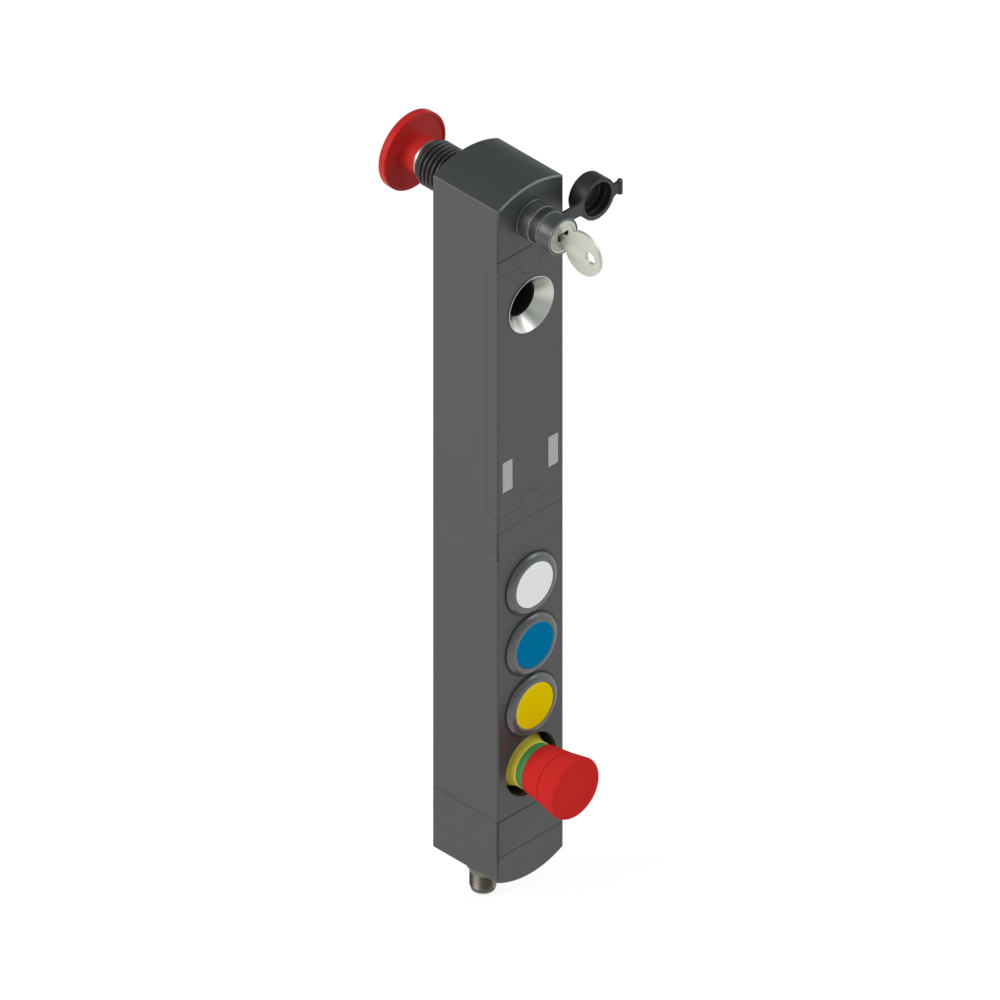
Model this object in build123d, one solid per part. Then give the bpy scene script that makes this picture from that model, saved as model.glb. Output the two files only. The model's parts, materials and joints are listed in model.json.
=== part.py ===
from build123d import *
import os
from math import asin, cos, sin, sqrt

# A column shaped guard switch: a switch body with a funnel for the door's actuator, a button
# module with three push buttons and a stop button, a head with a key lock and a release button.
# Millimetres. +Z is up, the mounting face is Y = 0, the buttons face -Y, and the origin lies
# midway between the two fixing holes on the mounting face.

# Column section and the modules' heights, from the top down
column_width = 40.0
column_depth = 40.0
corner_radius = 0.9
inner_radius = 0.4
wall = 2.2
seam_bevel = 0.25
crown_rise = 4.9
head_height = 27.0
body_height = 143.0
upper_adapter_height = 14.5
lower_adapter_height = 19.0
end_cap_height = 13.0

# Clearances, and how far a cut runs past a face and a boss into its wall
over = 1.0
root = 0.5
fit_gap = 0.05
seat_gap = 0.1
seam_gap = 0.15
travel_gap = 0.2
end_gap = 0.5

# Corner posts, the screws that tie two modules together, and the gasket in each seam
post_size = 6.0
post_height = 6.0
tie_screw_radius = 1.5
tie_screw_reach = 5.0
tie_head_radius = 2.6
tie_head_height = 2.0
gasket_width = 1.0
gasket_height = 1.4

# Front cover of the switch body
cover_inset = 8.1
cover_wrap = 7.0
cover_corner = 1.8
lip_width = 0.9
lip_depth = 2.0

# Fixing holes for M5 screws and their snap-in covers
fixing_inset = 7.5
fixing_radius = 2.65
fixing_head_radius = 5.0
fixing_floor = 6.0
boss_radius = 6.4
screw_cover_radius = 6.6
screw_cover_thickness = 2.6
screw_cover_plug = 3.0
screw_cover_wall = 1.0

# Funnel and the pocket that takes the door's actuator pin
funnel_drop = 31.1
funnel_radius = 13.6
funnel_bevel = 0.2
funnel_rim = 0.35
funnel_flange = 0.6
funnel_depth = 6.4
funnel_shank = 12.4
pocket_radius = 8.5
pocket_wall = 1.6
pocket_back_room = 10.0
pocket_floor = 1.6
coil_thickness = 2.4
coil_length = 4.0

# Light windows and the boards
window_width = 6.0
window_height = 15.8
window_inset = 6.1
window_rise = 28.1
window_bevel = 0.2
board_thickness = 1.6
board_offset = 3.9
board_inset = 21.5
board_side_gap = 1.8
light_board_height = 18.4
light_board_depth = 6.4
spacer_radius = 2.2
spacer_inset = 2.6
component_height = 1.4
component_size = 9.0
component_inset = 10.0

# Locking bolt and its solenoid
bolt_radius = 3.0
bolt_stroke = 5.0
bolt_bevel = 0.8
bolt_back = 20.0
bolt_guide_radius = 5.4
bolt_guide_length = 4.0
sheet = 2.0
armature_radius = 5.0
armature_length = 20.0
carrier_clearance = 1.0
bobbin_wall = 1.1
bobbin_flange = 1.5
bobbin_length = 33.0
winding_radius = 11.4
yoke_size = 28.0
core_length = 8.0
rib_height = 4.0
leg_width = 10.0
leg_gap = 0.9
lock_spring_radius = 4.3
spring_wire = 0.7

# Key lock in the head
lock_drop = 14.3
lock_collar_radius = 8.9
lock_collar_length = 7.1
lock_collar_flare = 0.3
lock_groove_radius = 7.6
lock_groove_length = 4.3
lock_ring_radius = 8.6
lock_ring_length = 0.7
lock_sleeve_radius = 8.75
lock_sleeve_length = 7.6
lock_sleeve_gap = 0.3
lock_bevel = 0.5
lock_face_radius = 7.8
barrel_radius = 7.0
barrel_inside = 7.0
hex_flats = 18.0
lock_nut_thickness = 3.0
plug_radius = 6.2
plug_recess = 0.15
keyhole_half = 3.2
keyhole_corner = 0.8
keyhole_depth = 1.5
keyhole_range = (-1.5, 2.2)
cam_thickness = 3.0
cam_hub_radius = 3.2
cam_tip_radius = 1.8
cam_neck_radius = 2.8
cam_square = 1.9

# Key, whose blade enters the plug below its axis
key_drop = 2.4
key_thickness = 1.8
key_blade = 7.1
key_length = 23.0
key_bow_radius = 10.7
key_hole_radius = 2.9
key_hole_offset = 4.7
key_standoff = 1.6
key_point = 2.5
bitting_depth = 1.3
bitting_pitch = 3.4
bitting_count = 4
bitting_start = 4.5
bitting_width = 1.6

# Rubber cap of the lock, on its strap
strap_width = 6.6
strap_thickness = 1.6
strap_ring_radius = 8.4
strap_inset = 0.55
cap_x = 30.5
cap_radius = 10.1
cap_wall = 1.9
cap_depth = 9.1
cap_edge = 1.5
tab_width = 6.2
tab_end = 45.2
tab_lip = 0.45
tab_lip_reach = 0.7
hinge_x = 15.25
hinge_gap = 0.3

# Escape release button at the back of the head
release_stroke = 8.0
rod_radius = 4.0
rod_cone_radius = 5.0
rod_cone_tip = 0.9
rod_cone_length = 5.0
rod_cone_land = 0.8
tab_rise = 1.0
rod_stop = 2.0
bush_radius = 7.0
bush_flange_radius = 8.2
bush_flange = 3.0
bush_nut = 3.0
bellows_start = 4.4
bellows_cuff_gap = 0.6
bellows_radius = 10.4
bellows_root = 8.3
bellows_end_radius = 9.2
bellows_wall = 0.66
bellows_folds = 7
bellows_slope = 0.4
bellows_pitch = 2 * bellows_wall + release_stroke / bellows_folds
collar_radius = 8.5
collar_length = 1.7
hub_radius = 8.6
hub_length = 7.0
disc_radius = 18.8
disc_thickness = 3.7
disc_crown = 1.6
disc_recess = 0.6
disc_bevel = 0.6
disc_rim = 1.0
hub_fillet = (1.4, 0.8)

# Push buttons, whose bezels nearly fill the column's width
bezel_side = 4.65
bezel_width = 4.3
bezel_spacing = 1.2
first_button_margin = 5.05
bezel_radius = column_width / 2 - bezel_side
button_pitch = 2 * bezel_radius + bezel_spacing
first_button_drop = bezel_radius + first_button_margin
lens_radius = bezel_radius - bezel_width
bezel_bore = lens_radius + 0.2
bezel_lip_radius = lens_radius + 0.35
bezel_barrel = lens_radius + 1.35
bezel_rise = 2.6
bezel_length = 8.2
bezel_stop = 1.2
bezel_stop_lip = 0.6
bezel_edge = 0.4
bezel_bulge = (0.6, 0.75)
nut_width = 2.2
nut_thickness = 2.6
lens_wall = 1.3
lens_skirt = 6.4
lens_bevel = 0.2
button_stroke = 3.0
plunger_radius = 2.5
plunger_disc = 1.6
contact_size = 22.0
contact_front = 13.0
contact_bevel = 1.0
button_board_offset = 10.4
button_board_width = 30.0
button_spring_radius = 4.2

# Stop button, as wide as a bezel, with each turned piece sized from the one round it
stop_margin = 6.15
stop_side = 0.1
stop_flare_gap = 1.85
stop_collar_gap = 4.05
green_inset = 0.3
green_wall = 2.6
barrel_inset = 2.0
skirt_gap = 0.2
skirt_wall = 0.6
skirt_flare = 1.4
head_flare = 3.1
head_wall = 4.1
dish_inset = 2.8
stem_radius = 4.4
stem_step = 2.1
stop_opening = bezel_radius - stop_side
stop_rise = stop_opening + stop_margin
stop_flare_radius = stop_opening - stop_flare_gap
stop_collar_radius = stop_opening - stop_collar_gap
green_radius = stop_collar_radius - green_inset
green_bore = green_radius - green_wall
stop_barrel_radius = green_radius - barrel_inset
skirt_bore = green_radius + skirt_gap
skirt_radius = skirt_bore + skirt_wall
groove_radius = skirt_radius + skirt_flare
head_radius = skirt_radius + head_flare
dish_radius = head_radius - dish_inset
head_cavity = groove_radius - head_wall
stem_flange_radius = stem_radius + stem_step
stop_spring_radius = (stem_radius + green_bore) / 2
well_wall = 1.3
well_depth = 12.5
well_floor = 1.5
stop_collar_rise = 1.7
stop_collar_bevel = 0.2
stop_flare_start = 2.0
stop_flare_depth = 7.0
green_rise = 5.8
green_seat = 2.4
green_rebate = 1.4
groove_rise = 16.7
groove_half = 0.1
head_widest = 25.6
head_rise = 28.0
head_bulge = (0.75, 0.6)
head_spigot = 1.5
dish_depth = 0.5
stop_stroke = 4.0
stem_flange = 2.0
stem_clearance = 1.0
skirt_floor = 2.0

# Plug connector under the end cap
plug_y = -11.0
plug_boss_radius = 7.45
plug_boss_length = 8.8
plug_boss_bevel = 0.4
plug_collar_length = 3.3
plug_thread_radius = 6.0
plug_collar_radius = 5.7
plug_thread_length = 7.5
plug_tip_radius = 5.35
plug_tip_length = 1.6
plug_bore = 4.95
plug_nut_radius = 8.8
plug_nut_thickness = 2.5
insert_recess = 8.0
pin_radius = 0.5
pin_circle = 2.9
pin_count = 7
pin_recess = 2.0
pin_tail = 3.0

# The push buttons from the top down
button_colours = ["white", "blue", "yellow"]

# Levels and places that follow from the sizes
front = -column_depth
mid_y = front / 2
button_module_height = first_button_drop + 3 * button_pitch + stop_rise
half_width = column_width / 2
inner_half = half_width - wall
board_width = 2 * (inner_half - board_side_gap)
window_x = half_width - window_inset
body_top = body_height / 2
body_bottom = -body_height / 2
cover_height = body_height - 2 * cover_inset
fixing_spacing = body_height - 2 * fixing_inset
board_height = body_height - 2 * board_inset
funnel_z = body_top - funnel_drop
pocket_depth = column_depth - funnel_depth - funnel_flange - pocket_back_room
window_z = body_bottom + window_rise
head_corner = body_top + head_height
buttons_top = body_bottom - upper_adapter_height
buttons_bottom = buttons_top - button_module_height
cap_top = buttons_bottom - lower_adapter_height
cap_corner = cap_top - end_cap_height
seams = [body_top, body_bottom, buttons_top, buttons_bottom, cap_top]
front_inside = front + wall
back_inside = -wall
lock_z = body_top + lock_drop
button_levels = [buttons_top - first_button_drop - n * button_pitch for n in range(4)]
stop_z = button_levels[3]


def block(x0, x1, y0, y1, z0, z1):
    """Box between two corners."""
    middle = Pos((x0 + x1) / 2, (y0 + y1) / 2, (z0 + z1) / 2)
    return middle * Box(abs(x1 - x0), abs(y1 - y0), abs(z1 - z0))


def rod_y(radius, y0, y1, x=0.0, z=0.0):
    """Cylinder that runs from front to back."""
    return Pos(x, (y0 + y1) / 2, z) * Rot(90, 0, 0) * Cylinder(radius, abs(y1 - y0))


def rod_z(radius, z0, z1, x=0.0, y=0.0):
    """Upright cylinder."""
    return Pos(x, y, (z0 + z1) / 2) * Cylinder(radius, abs(z1 - z0))


def turned_y(points, x=0.0, z=0.0, arcs=()):
    """Solid turned about a front-to-back axis from (radius, y) points, closed by the given arcs."""
    outline = Polyline(*points, close=not arcs)
    return Pos(x, 0, z) * revolve(make_face([outline, *arcs]), Axis.Y)


def turned_z(points, x=0.0, y=0.0):
    """Solid turned about an upright axis from (radius, z) points."""
    outline = Polyline(*[(r, 0, z) for r, z in points], close=True)
    return Pos(x, y, 0) * revolve(make_face(outline), Axis.Z)


def cap_arc(radius, y_edge, y_middle):
    """Arc of a ball's section, from a rim at the given radius to the axis."""
    rise = y_middle - y_edge
    ball = (radius**2 + rise**2) / (2 * abs(rise))
    centre = y_middle - ball * rise / abs(rise)
    half = asin(radius / ball) / 2
    middle = (ball * sin(half), centre + ball * cos(half) * rise / abs(rise))
    return ThreePointArc((radius, y_edge), middle, (0, y_middle))


def plate_y(outline, y0, y1):
    """Plate with an outline drawn in X and Z, between two depths."""
    return Pos(0, max(y0, y1), 0) * extrude(Plane.XZ * outline, abs(y1 - y0))


def group(solids):
    """Separate like pieces kept together as one node."""
    return Compound(children=list(solids))


def section(z_low, z_high, inset=0.0):
    """Length of the column's section, inset from its outer face."""
    radius = max(corner_radius - inset, inner_radius)
    outline = RectangleRounded(column_width - 2 * inset, column_depth - 2 * inset, radius)
    return Pos(0, mid_y, z_low) * extrude(outline, z_high - z_low)


def crowned(z_seam, z_corner, inset=0.0):
    """End of the column whose far face is an arc from side to side."""
    side = 1 if z_corner > z_seam else -1
    arc_radius = (half_width**2 + crown_rise**2) / (2 * crown_rise)
    arc_centre = z_corner + side * (crown_rise - arc_radius)
    radius = arc_radius - inset
    reach = half_width - inset
    shoulder = arc_centre + side * sqrt(radius**2 - reach**2)
    top = arc_centre + side * radius
    sides = Polyline((-reach, shoulder), (-reach, z_seam), (reach, z_seam), (reach, shoulder))
    arc = ThreePointArc((reach, shoulder), (0, top), (-reach, shoulder))
    return plate_y(make_face([sides, arc]), front + inset, -inset)


def corner_posts(z_low, z_high):
    """Four square posts in the corners, which the tie screws enter."""
    edge = inner_half
    posts = []
    for side in (-1, 1):
        for end in (-1, 1):
            x_in, x_out = side * (edge - post_size), side * edge
            y_out = mid_y + end * (column_depth / 2 - wall)
            posts.append(block(x_in, x_out, y_out - end * post_size, y_out, z_low, z_high))
    return posts


def tie_screw(seam, side, grow=0.0):
    """Screw that runs up through the post below a seam into the post above it."""
    x = side * (inner_half - post_size / 2)
    y = mid_y - side * (column_depth / 2 - wall - post_size / 2)
    seat = seam - post_height
    shank = rod_z(tie_screw_radius + grow, seat, seam + tie_screw_reach, x, y)
    return shank + rod_z(tie_head_radius + grow, seat - tie_head_height, seat, x, y)


def seam_gasket(seam, grow=0.0):
    """Square ring in the grooves of the two faces that meet at a seam."""
    middle = wall / 2
    half = gasket_height / 2 + grow
    outer = section(seam - half, seam + half, middle - gasket_width / 2 - grow)
    return outer - section(seam - half, seam + half, middle + gasket_width / 2 + grow)


def close_seams(housing, seam_list):
    """Cuts the tie screw holes and gasket grooves of the given seams into a housing."""
    for seam in seam_list:
        housing -= seam_gasket(seam, seat_gap)
        for side in (-1, 1):
            housing -= tie_screw(seam, side, fit_gap)
    return housing


def bevel_ends(solid, levels):
    """Bevels the outer edges at the given levels, where two modules meet."""
    rims = [e for e in solid.edges() if any(abs(e.center().Z - z) < 0.001 for z in levels)]
    rims = [e for e in rims if abs(e.bounding_box().size.Z) < 0.001]
    return chamfer(rims, seam_bevel)


def module(z_low, z_high):
    """Open-ended module housing with corner posts at both ends."""
    solid = bevel_ends(section(z_low, z_high), [z_low, z_high])
    solid -= section(z_low - over, z_high + over, wall)
    posts = corner_posts(z_low, z_low + post_height) + corner_posts(z_high - post_height, z_high)
    return solid + posts


def end_module(z_seam, z_corner):
    """Closed end of the column with its crowned far face."""
    solid = crowned(z_seam, z_corner)
    soft = [e for e in solid.edges() if abs(e.center().Z - z_seam) > 0.001]
    solid = bevel_ends(fillet(soft, corner_radius), [z_seam])
    solid -= crowned(z_seam, z_corner, wall)
    side = 1 if z_corner > z_seam else -1
    return solid + corner_posts(*sorted([z_seam, z_seam + side * post_height]))


# Housings


def cover_zone(grow=0.0):
    """Space that the front cover takes, which wraps a little way round both sides."""
    half = cover_height / 2 + grow
    depth = cover_wrap + over + grow
    outline = Rectangle(depth, 2 * half)
    outline = fillet(outline.vertices().group_by(Axis.X)[-1], cover_corner + grow)
    solid = extrude(Plane.YZ * outline, column_width + 2 * over)
    solid = Pos(-half_width - over, front - over + depth / 2, 0) * solid
    for end in (-1, 1):
        notch = screw_cover_radius + seam_gap - grow
        solid -= rod_y(notch, front - 2 * over, front_inside + fit_gap, z=end * fixing_spacing / 2)
    return solid


def front_cover():
    shell = section(-cover_height, cover_height)
    shell -= section(-cover_height - over, cover_height + over, wall)
    cover = shell & cover_zone()
    cover -= rod_y(funnel_shank + fit_gap, front - over, front_inside + over, z=funnel_z)
    for side in (-1, 1):
        x = side * window_x
        w = window_width / 2 + fit_gap
        h = window_height / 2 + fit_gap
        y0, y1 = front - over, front_inside + over
        cover -= block(x - w, x + w, y0, y1, window_z - h, window_z + h)
    return cover


def fixing_boss(end):
    """Boss from the mounting face forward, round one fixing hole."""
    z = end * fixing_spacing / 2
    return rod_y(boss_radius, back_inside + root, front + screw_cover_thickness, z=z)


def fixing_bore(end):
    z = end * fixing_spacing / 2
    bore = rod_y(fixing_radius, over, front, z=z)
    bore += rod_y(fixing_head_radius, -fixing_floor, front, z=z)
    seat = rod_y(screw_cover_radius + fit_gap, front + screw_cover_thickness, front - over, z=z)
    return bore + seat


def body_housing():
    solid = module(body_bottom, body_top) - cover_zone(seam_gap)
    half = cover_height / 2
    low, high = -half - lip_depth, half + lip_depth
    lip = section(low, high, wall) - section(low - over, high + over, wall + lip_width)
    lip &= block(-half_width, half_width, front, front + cover_wrap + lip_depth, low, high)
    window = half - lip_depth
    lip -= block(-inner_half + lip_width, inner_half - lip_width, front, mid_y, -window, window)
    solid += lip
    for end in (-1, 1):
        solid += fixing_boss(end)
    y0, y1 = mid_y - leg_width / 2, mid_y + leg_width / 2
    for side in (-1, 1):
        x0, x1 = side * (yoke_size / 2 + seat_gap), side * (half_width - wall / 2)
        for z in (yoke_bottom(), yoke_top() - rib_height):
            solid += block(x0, x1, y0, y1, z, z + rib_height)
        x = side * (board_width / 2 - spacer_inset)
        for z in board_post_levels():
            solid += rod_y(spacer_radius, back_inside + root, -board_offset, x, z)
    for end in (-1, 1):
        solid -= fixing_bore(end)
    return close_seams(solid, seams[:2])


def screw_cover(end):
    """Snap-in disc over one fixing screw, with a hollow plug that grips its bore."""
    z = end * fixing_spacing / 2
    seat = front + screw_cover_thickness
    disc = rod_y(screw_cover_radius, front, seat, z=z)
    grip = fixing_head_radius - fit_gap
    plug = rod_y(grip, seat, seat + screw_cover_plug, z=z)
    return disc + plug - rod_y(grip - screw_cover_wall, seat, seat + screw_cover_plug, z=z)


def head_housing():
    solid = end_module(body_top, head_corner)
    solid -= rod_y(barrel_radius + fit_gap, front - over, front_inside + over, z=lock_z)
    solid -= rod_y(bush_radius + fit_gap, back_inside - over, over, z=lock_z)
    return close_seams(solid, seams[:1])


def upper_adapter():
    return close_seams(module(buttons_top, body_bottom), seams[1:3])


def lower_adapter():
    return close_seams(module(cap_top, buttons_bottom), seams[3:5])


def end_cap():
    solid = end_module(cap_top, cap_corner)
    low = cap_corner - crown_rise - over
    solid -= rod_z(plug_boss_radius + fit_gap, low, cap_corner + wall, y=plug_y)
    return close_seams(solid, seams[4:])


def button_housing():
    solid = module(buttons_bottom, buttons_top)
    for z in button_levels[:3]:
        solid -= rod_y(bezel_barrel + fit_gap, front - over, front_inside + over, z=z)
    solid -= rod_y(stop_opening, front - over, front_inside + over, z=stop_z)
    for side in (-1, 1):
        for z in button_board_levels():
            x = side * (button_board_width / 2 - spacer_inset)
            solid += rod_y(spacer_radius, back_inside + root, -button_board_offset, x, z)
    return close_seams(solid, seams[2:4])


# Funnel, pocket, boards and lights


def funnel_ring():
    """Metal ring that guides the actuator pin into the pocket."""
    face = front - funnel_flange
    deep = front + funnel_depth + funnel_flange
    points = [
        (pocket_radius + seam_gap, front + funnel_depth),
        (pocket_radius + seam_gap, deep),
        (funnel_shank, deep),
        (funnel_shank, front),
        (funnel_radius, front),
        (funnel_radius, face + funnel_bevel),
        (funnel_radius - funnel_bevel, face),
        (funnel_radius - funnel_rim, face),
    ]
    return turned_y(points, z=funnel_z)


def pocket_front():
    return front + funnel_depth + funnel_flange


def actuator_pocket():
    """Blind sleeve behind the funnel, with the guide for the locking bolt under it."""
    y0 = pocket_front()
    y1 = y0 + pocket_depth
    outer = pocket_radius + pocket_wall
    solid = rod_y(outer, y0, y1, z=funnel_z)
    solid += rod_z(bolt_guide_radius, funnel_z - outer - bolt_guide_length, funnel_z, y=bolt_y())
    solid -= rod_y(pocket_radius, y0 - over, y1 - pocket_floor, z=funnel_z)
    return solid - rod_z(bolt_radius + fit_gap, funnel_z - 2 * outer, funnel_z, y=bolt_y())


def antenna_coil():
    """Ring coil round the mouth of the pocket that reads the actuator."""
    inner = pocket_radius + pocket_wall + fit_gap
    y0 = pocket_front() + seat_gap
    ring = rod_y(inner + coil_thickness, y0, y0 + coil_length, z=funnel_z)
    return ring - rod_y(inner, y0, y0 + coil_length, z=funnel_z)


def light_window(side):
    """Light pipe from the light board out through the cover, flush with its face."""
    x = side * window_x
    w, h = window_width / 2, window_height / 2
    pipe = block(x - w, x + w, front, front + light_board_depth, window_z - h, window_z + h)
    return chamfer(pipe.faces().sort_by(Axis.Y)[0].edges(), window_bevel)


def light_board():
    y0 = front + light_board_depth
    h = light_board_height / 2
    w = inner_half - lip_width - seat_gap
    return block(-w, w, y0, y0 + board_thickness, window_z - h, window_z + h)


def board_spacers():
    """Pillars that carry the light board on the main board."""
    y0 = front + light_board_depth + board_thickness
    h = light_board_height / 2 - spacer_inset
    x = board_width / 2 - spacer_inset
    places = [(a * x, window_z + b * h) for a in (-1, 1) for b in (-1, 1)]
    y1 = -board_offset - board_thickness
    return group(rod_y(spacer_radius, y0, y1, px, pz) for px, pz in places)


def board_post_levels():
    return [-board_height / 2 + spacer_inset, board_height / 2 - spacer_inset]


def main_board():
    w, h = board_width / 2, board_height / 2
    y0 = -board_offset - board_thickness
    board = block(-w, w, y0, -board_offset, -h, h)
    half = component_size / 2
    for end in (-1, 1):
        z = end * (h - component_inset)
        board += block(-half, half, y0 - component_height, y0, z - half, z + half)
    return board


# Locking bolt


def bolt_y():
    return -bolt_back


def pocket_bottom():
    return funnel_z - pocket_radius - pocket_wall - bolt_guide_length


def carrier_top():
    """Top of the plate that carries the bolt, with the bolt drawn back."""
    return pocket_bottom() - travel_gap - bolt_stroke - end_gap


def yoke_top():
    return carrier_top() - sheet - carrier_clearance


def yoke_bottom():
    return yoke_top() - 2 * sheet - bobbin_length


def pole_top():
    return yoke_bottom() + sheet + core_length


def bridge_top():
    """Top of the release bridge, just clear of the lock cam at full stroke of the bolt."""
    return lock_z - cam_hub_radius - travel_gap - bolt_stroke


def armature_foot():
    return carrier_top() - sheet - armature_length


def locking_bolt():
    """Turned armature with the bolt on its end and a neck that the release frame sits on."""
    tip = funnel_z - pocket_radius - end_gap
    shoulder = carrier_top() - sheet
    foot = armature_foot()
    points = [
        (0, foot),
        (armature_radius, foot),
        (armature_radius, shoulder),
        (bolt_radius, shoulder),
        (bolt_radius, tip - bolt_bevel),
        (bolt_radius - bolt_bevel, tip),
        (0, tip),
    ]
    return turned_z(points, y=bolt_y())


def release_frame():
    """Bent sheet that lifts with the bolt, with a bridge in the head for the cam and the rod."""
    leg_in = pocket_radius + pocket_wall + leg_gap
    leg_out = leg_in + sheet
    base = carrier_top()
    top = bridge_top()
    y0, y1 = bolt_y() - leg_width / 2, bolt_y() + leg_width / 2
    back = tab_back_y()
    solid = block(-leg_out, leg_out, y0, y1, base - sheet, base)
    for side in (-1, 1):
        solid += block(side * leg_in, side * leg_out, y0, y1, base - sheet, top)
    solid += block(-leg_out, leg_out, bridge_front_y(), back, top - sheet, top)
    tab_top = lock_z - rod_cone_radius - travel_gap
    tab_side = [(back - sheet, top), (back, top), (back, top + tab_rise), (back - sheet, tab_top)]
    tab = extrude(Plane.YZ * make_face(Polyline(*tab_side, close=True)), rod_cone_radius)
    solid += Pos(-rod_cone_radius / 2, 0, 0) * tab
    return solid - rod_z(bolt_radius + fit_gap, base - sheet - over, base + over, y=bolt_y())


def bridge_front_y():
    return cam_front_y() + seat_gap


def tab_back_y():
    """Back of the release tab, ahead of the rod's cone at rest."""
    return rod_tip_y() - end_gap


def bobbin():
    y = bolt_y()
    inner = armature_radius + fit_gap
    low, high = yoke_bottom() + sheet, yoke_top() - sheet
    tube = inner + bobbin_wall
    points = [
        (inner, low),
        (winding_radius, low),
        (winding_radius, low + bobbin_flange),
        (tube, low + bobbin_flange),
        (tube, high - bobbin_flange),
        (winding_radius, high - bobbin_flange),
        (winding_radius, high),
        (inner, high),
    ]
    return turned_z(points, y=y)


def winding():
    low = yoke_bottom() + sheet + bobbin_flange
    high = yoke_top() - sheet - bobbin_flange
    inner = armature_radius + fit_gap + bobbin_wall
    outer = winding_radius - end_gap
    return turned_z([(inner, low), (outer, low), (outer, high), (inner, high)], y=bolt_y())


def yoke():
    """Bent steel yoke round the coil, with the fixed pole riveted into its foot."""
    half = yoke_size / 2
    y0, y1 = bolt_y() - half, bolt_y() + half
    low, high = yoke_bottom(), yoke_top()
    solid = block(-half, half, y0, y1, low, high)
    solid -= block(-half - over, half + over, y0 - over, y1 - sheet, low + sheet, high - sheet)
    solid -= rod_z(armature_radius + seam_gap, high - sheet - over, high + over, y=bolt_y())
    return solid + rod_z(armature_radius, low, pole_top(), y=bolt_y())


def coil_spring(radius, wire, length, turns=4.5):
    """Helical spring of flat-sided wire that stands on the XY plane."""
    path = Helix(pitch=(length - wire) / turns, height=length - wire, radius=radius)
    start = Plane(origin=path @ 0, z_dir=path % 0)
    return Pos(0, 0, wire / 2) * sweep(start * Rectangle(wire, wire), path=path, is_frenet=True)


def spring_y(radius, wire, y0, y1, z):
    return Pos(0, y1, z) * Rot(90, 0, 0) * coil_spring(radius, wire, y1 - y0)


def lock_spring():
    room = armature_foot() - pole_top()
    spring = coil_spring(lock_spring_radius, spring_wire, room - seat_gap)
    return Pos(0, bolt_y(), pole_top() + seat_gap / 2) * spring


# Key lock


def groove_front_y():
    return front - lock_collar_length - lock_groove_length


def sleeve_back_y():
    return groove_front_y() - lock_ring_length - lock_sleeve_gap


def lock_face_y():
    return sleeve_back_y() - lock_sleeve_length


def key_z():
    return lock_z - key_drop


def lock_collar():
    """Collar on the head with the groove that holds the strap ring."""
    bore = barrel_radius + fit_gap
    flare = lock_collar_radius + lock_collar_flare
    y1 = front - lock_collar_length
    y2 = groove_front_y()
    y3 = y2 - lock_ring_length
    points = [
        (bore, front),
        (flare, front),
        (flare, front - lock_bevel),
        (lock_collar_radius, front - 2 * lock_bevel),
        (lock_collar_radius, y1 + lock_collar_flare),
        (lock_collar_radius - lock_collar_flare, y1),
        (lock_groove_radius, y1),
        (lock_groove_radius, y2),
        (lock_ring_radius, y2),
        (lock_ring_radius, y3),
        (bore, y3),
    ]
    return turned_y(points, z=lock_z)


def lock_sleeve():
    bore = lock_face_radius + fit_gap
    y0, y1 = lock_face_y(), sleeve_back_y()
    points = [
        (bore, y0),
        (lock_sleeve_radius - lock_bevel, y0),
        (lock_sleeve_radius, y0 + lock_bevel),
        (lock_sleeve_radius, y1),
        (bore, y1),
    ]
    return turned_y(points, z=lock_z)


def plug_front_y():
    return lock_face_y() + plug_recess


def barrel_end_y():
    return front_inside + barrel_inside


def cam_front_y():
    return barrel_end_y() + end_gap


def cam_back_y():
    return cam_front_y() + cam_thickness


def lock_barrel():
    bore = plug_radius + fit_gap
    y0, y2 = lock_face_y(), barrel_end_y()
    y1 = sleeve_back_y() + lock_sleeve_gap
    points = [
        (bore, y0),
        (lock_face_radius - lock_collar_flare, y0),
        (lock_face_radius, y0 + lock_collar_flare),
        (lock_face_radius, y1),
        (barrel_radius, y1),
        (barrel_radius, y2),
        (bore, y2),
    ]
    return turned_y(points, z=lock_z)


def hex_nut(bore, y0, y1):
    """Hexagon nut on the head's axis, between two depths."""
    nut = Pos(0, 0, lock_z) * plate_y(RegularPolygon(hex_flats / 2, 6, major_radius=False), y0, y1)
    return nut - rod_y(bore + fit_gap, y0 - over, y1 + over, z=lock_z)


def key_inner_y():
    return lock_face_y() + key_length


def lock_plug():
    """Turning plug with its wide keyhole, the keyway behind it and a square tail for the cam."""
    y0 = plug_front_y()
    solid = rod_y(plug_radius, y0, barrel_end_y(), z=lock_z)
    solid += rod_y(cam_neck_radius, barrel_end_y() - over, cam_front_y(), z=lock_z)
    tail = cam_square
    solid += block(-tail, tail, cam_front_y() - over, cam_back_y(), lock_z - tail, lock_z + tail)
    w = key_thickness / 2 + seat_gap
    h = key_blade / 2 + seat_gap
    solid -= block(-w, w, y0 - over, key_inner_y() + seat_gap, key_z() - h, key_z() + h)
    low, high = [lock_z + level for level in keyhole_range]
    hole = block(-keyhole_half, keyhole_half, y0 - over, y0 + keyhole_depth, low, high)
    return solid - fillet(hole.edges().filter_by(Axis.Y), keyhole_corner)


def release_cam():
    """Arm that presses the release bridge down when the plug turns a quarter turn."""
    reach = lock_z - bridge_top() - travel_gap
    tip = reach - cam_tip_radius
    outline = Circle(cam_hub_radius) + Pos(tip, 0) * Circle(cam_tip_radius)
    outline += Pos(tip / 2, 0) * Rectangle(tip, 2 * cam_tip_radius)
    solid = Pos(0, 0, lock_z) * plate_y(outline, cam_front_y(), cam_back_y())
    tail = cam_square + fit_gap
    y0, y1 = cam_front_y() - over, cam_back_y() + over
    return solid - block(-tail, tail, y0, y1, lock_z - tail, lock_z + tail)


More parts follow.
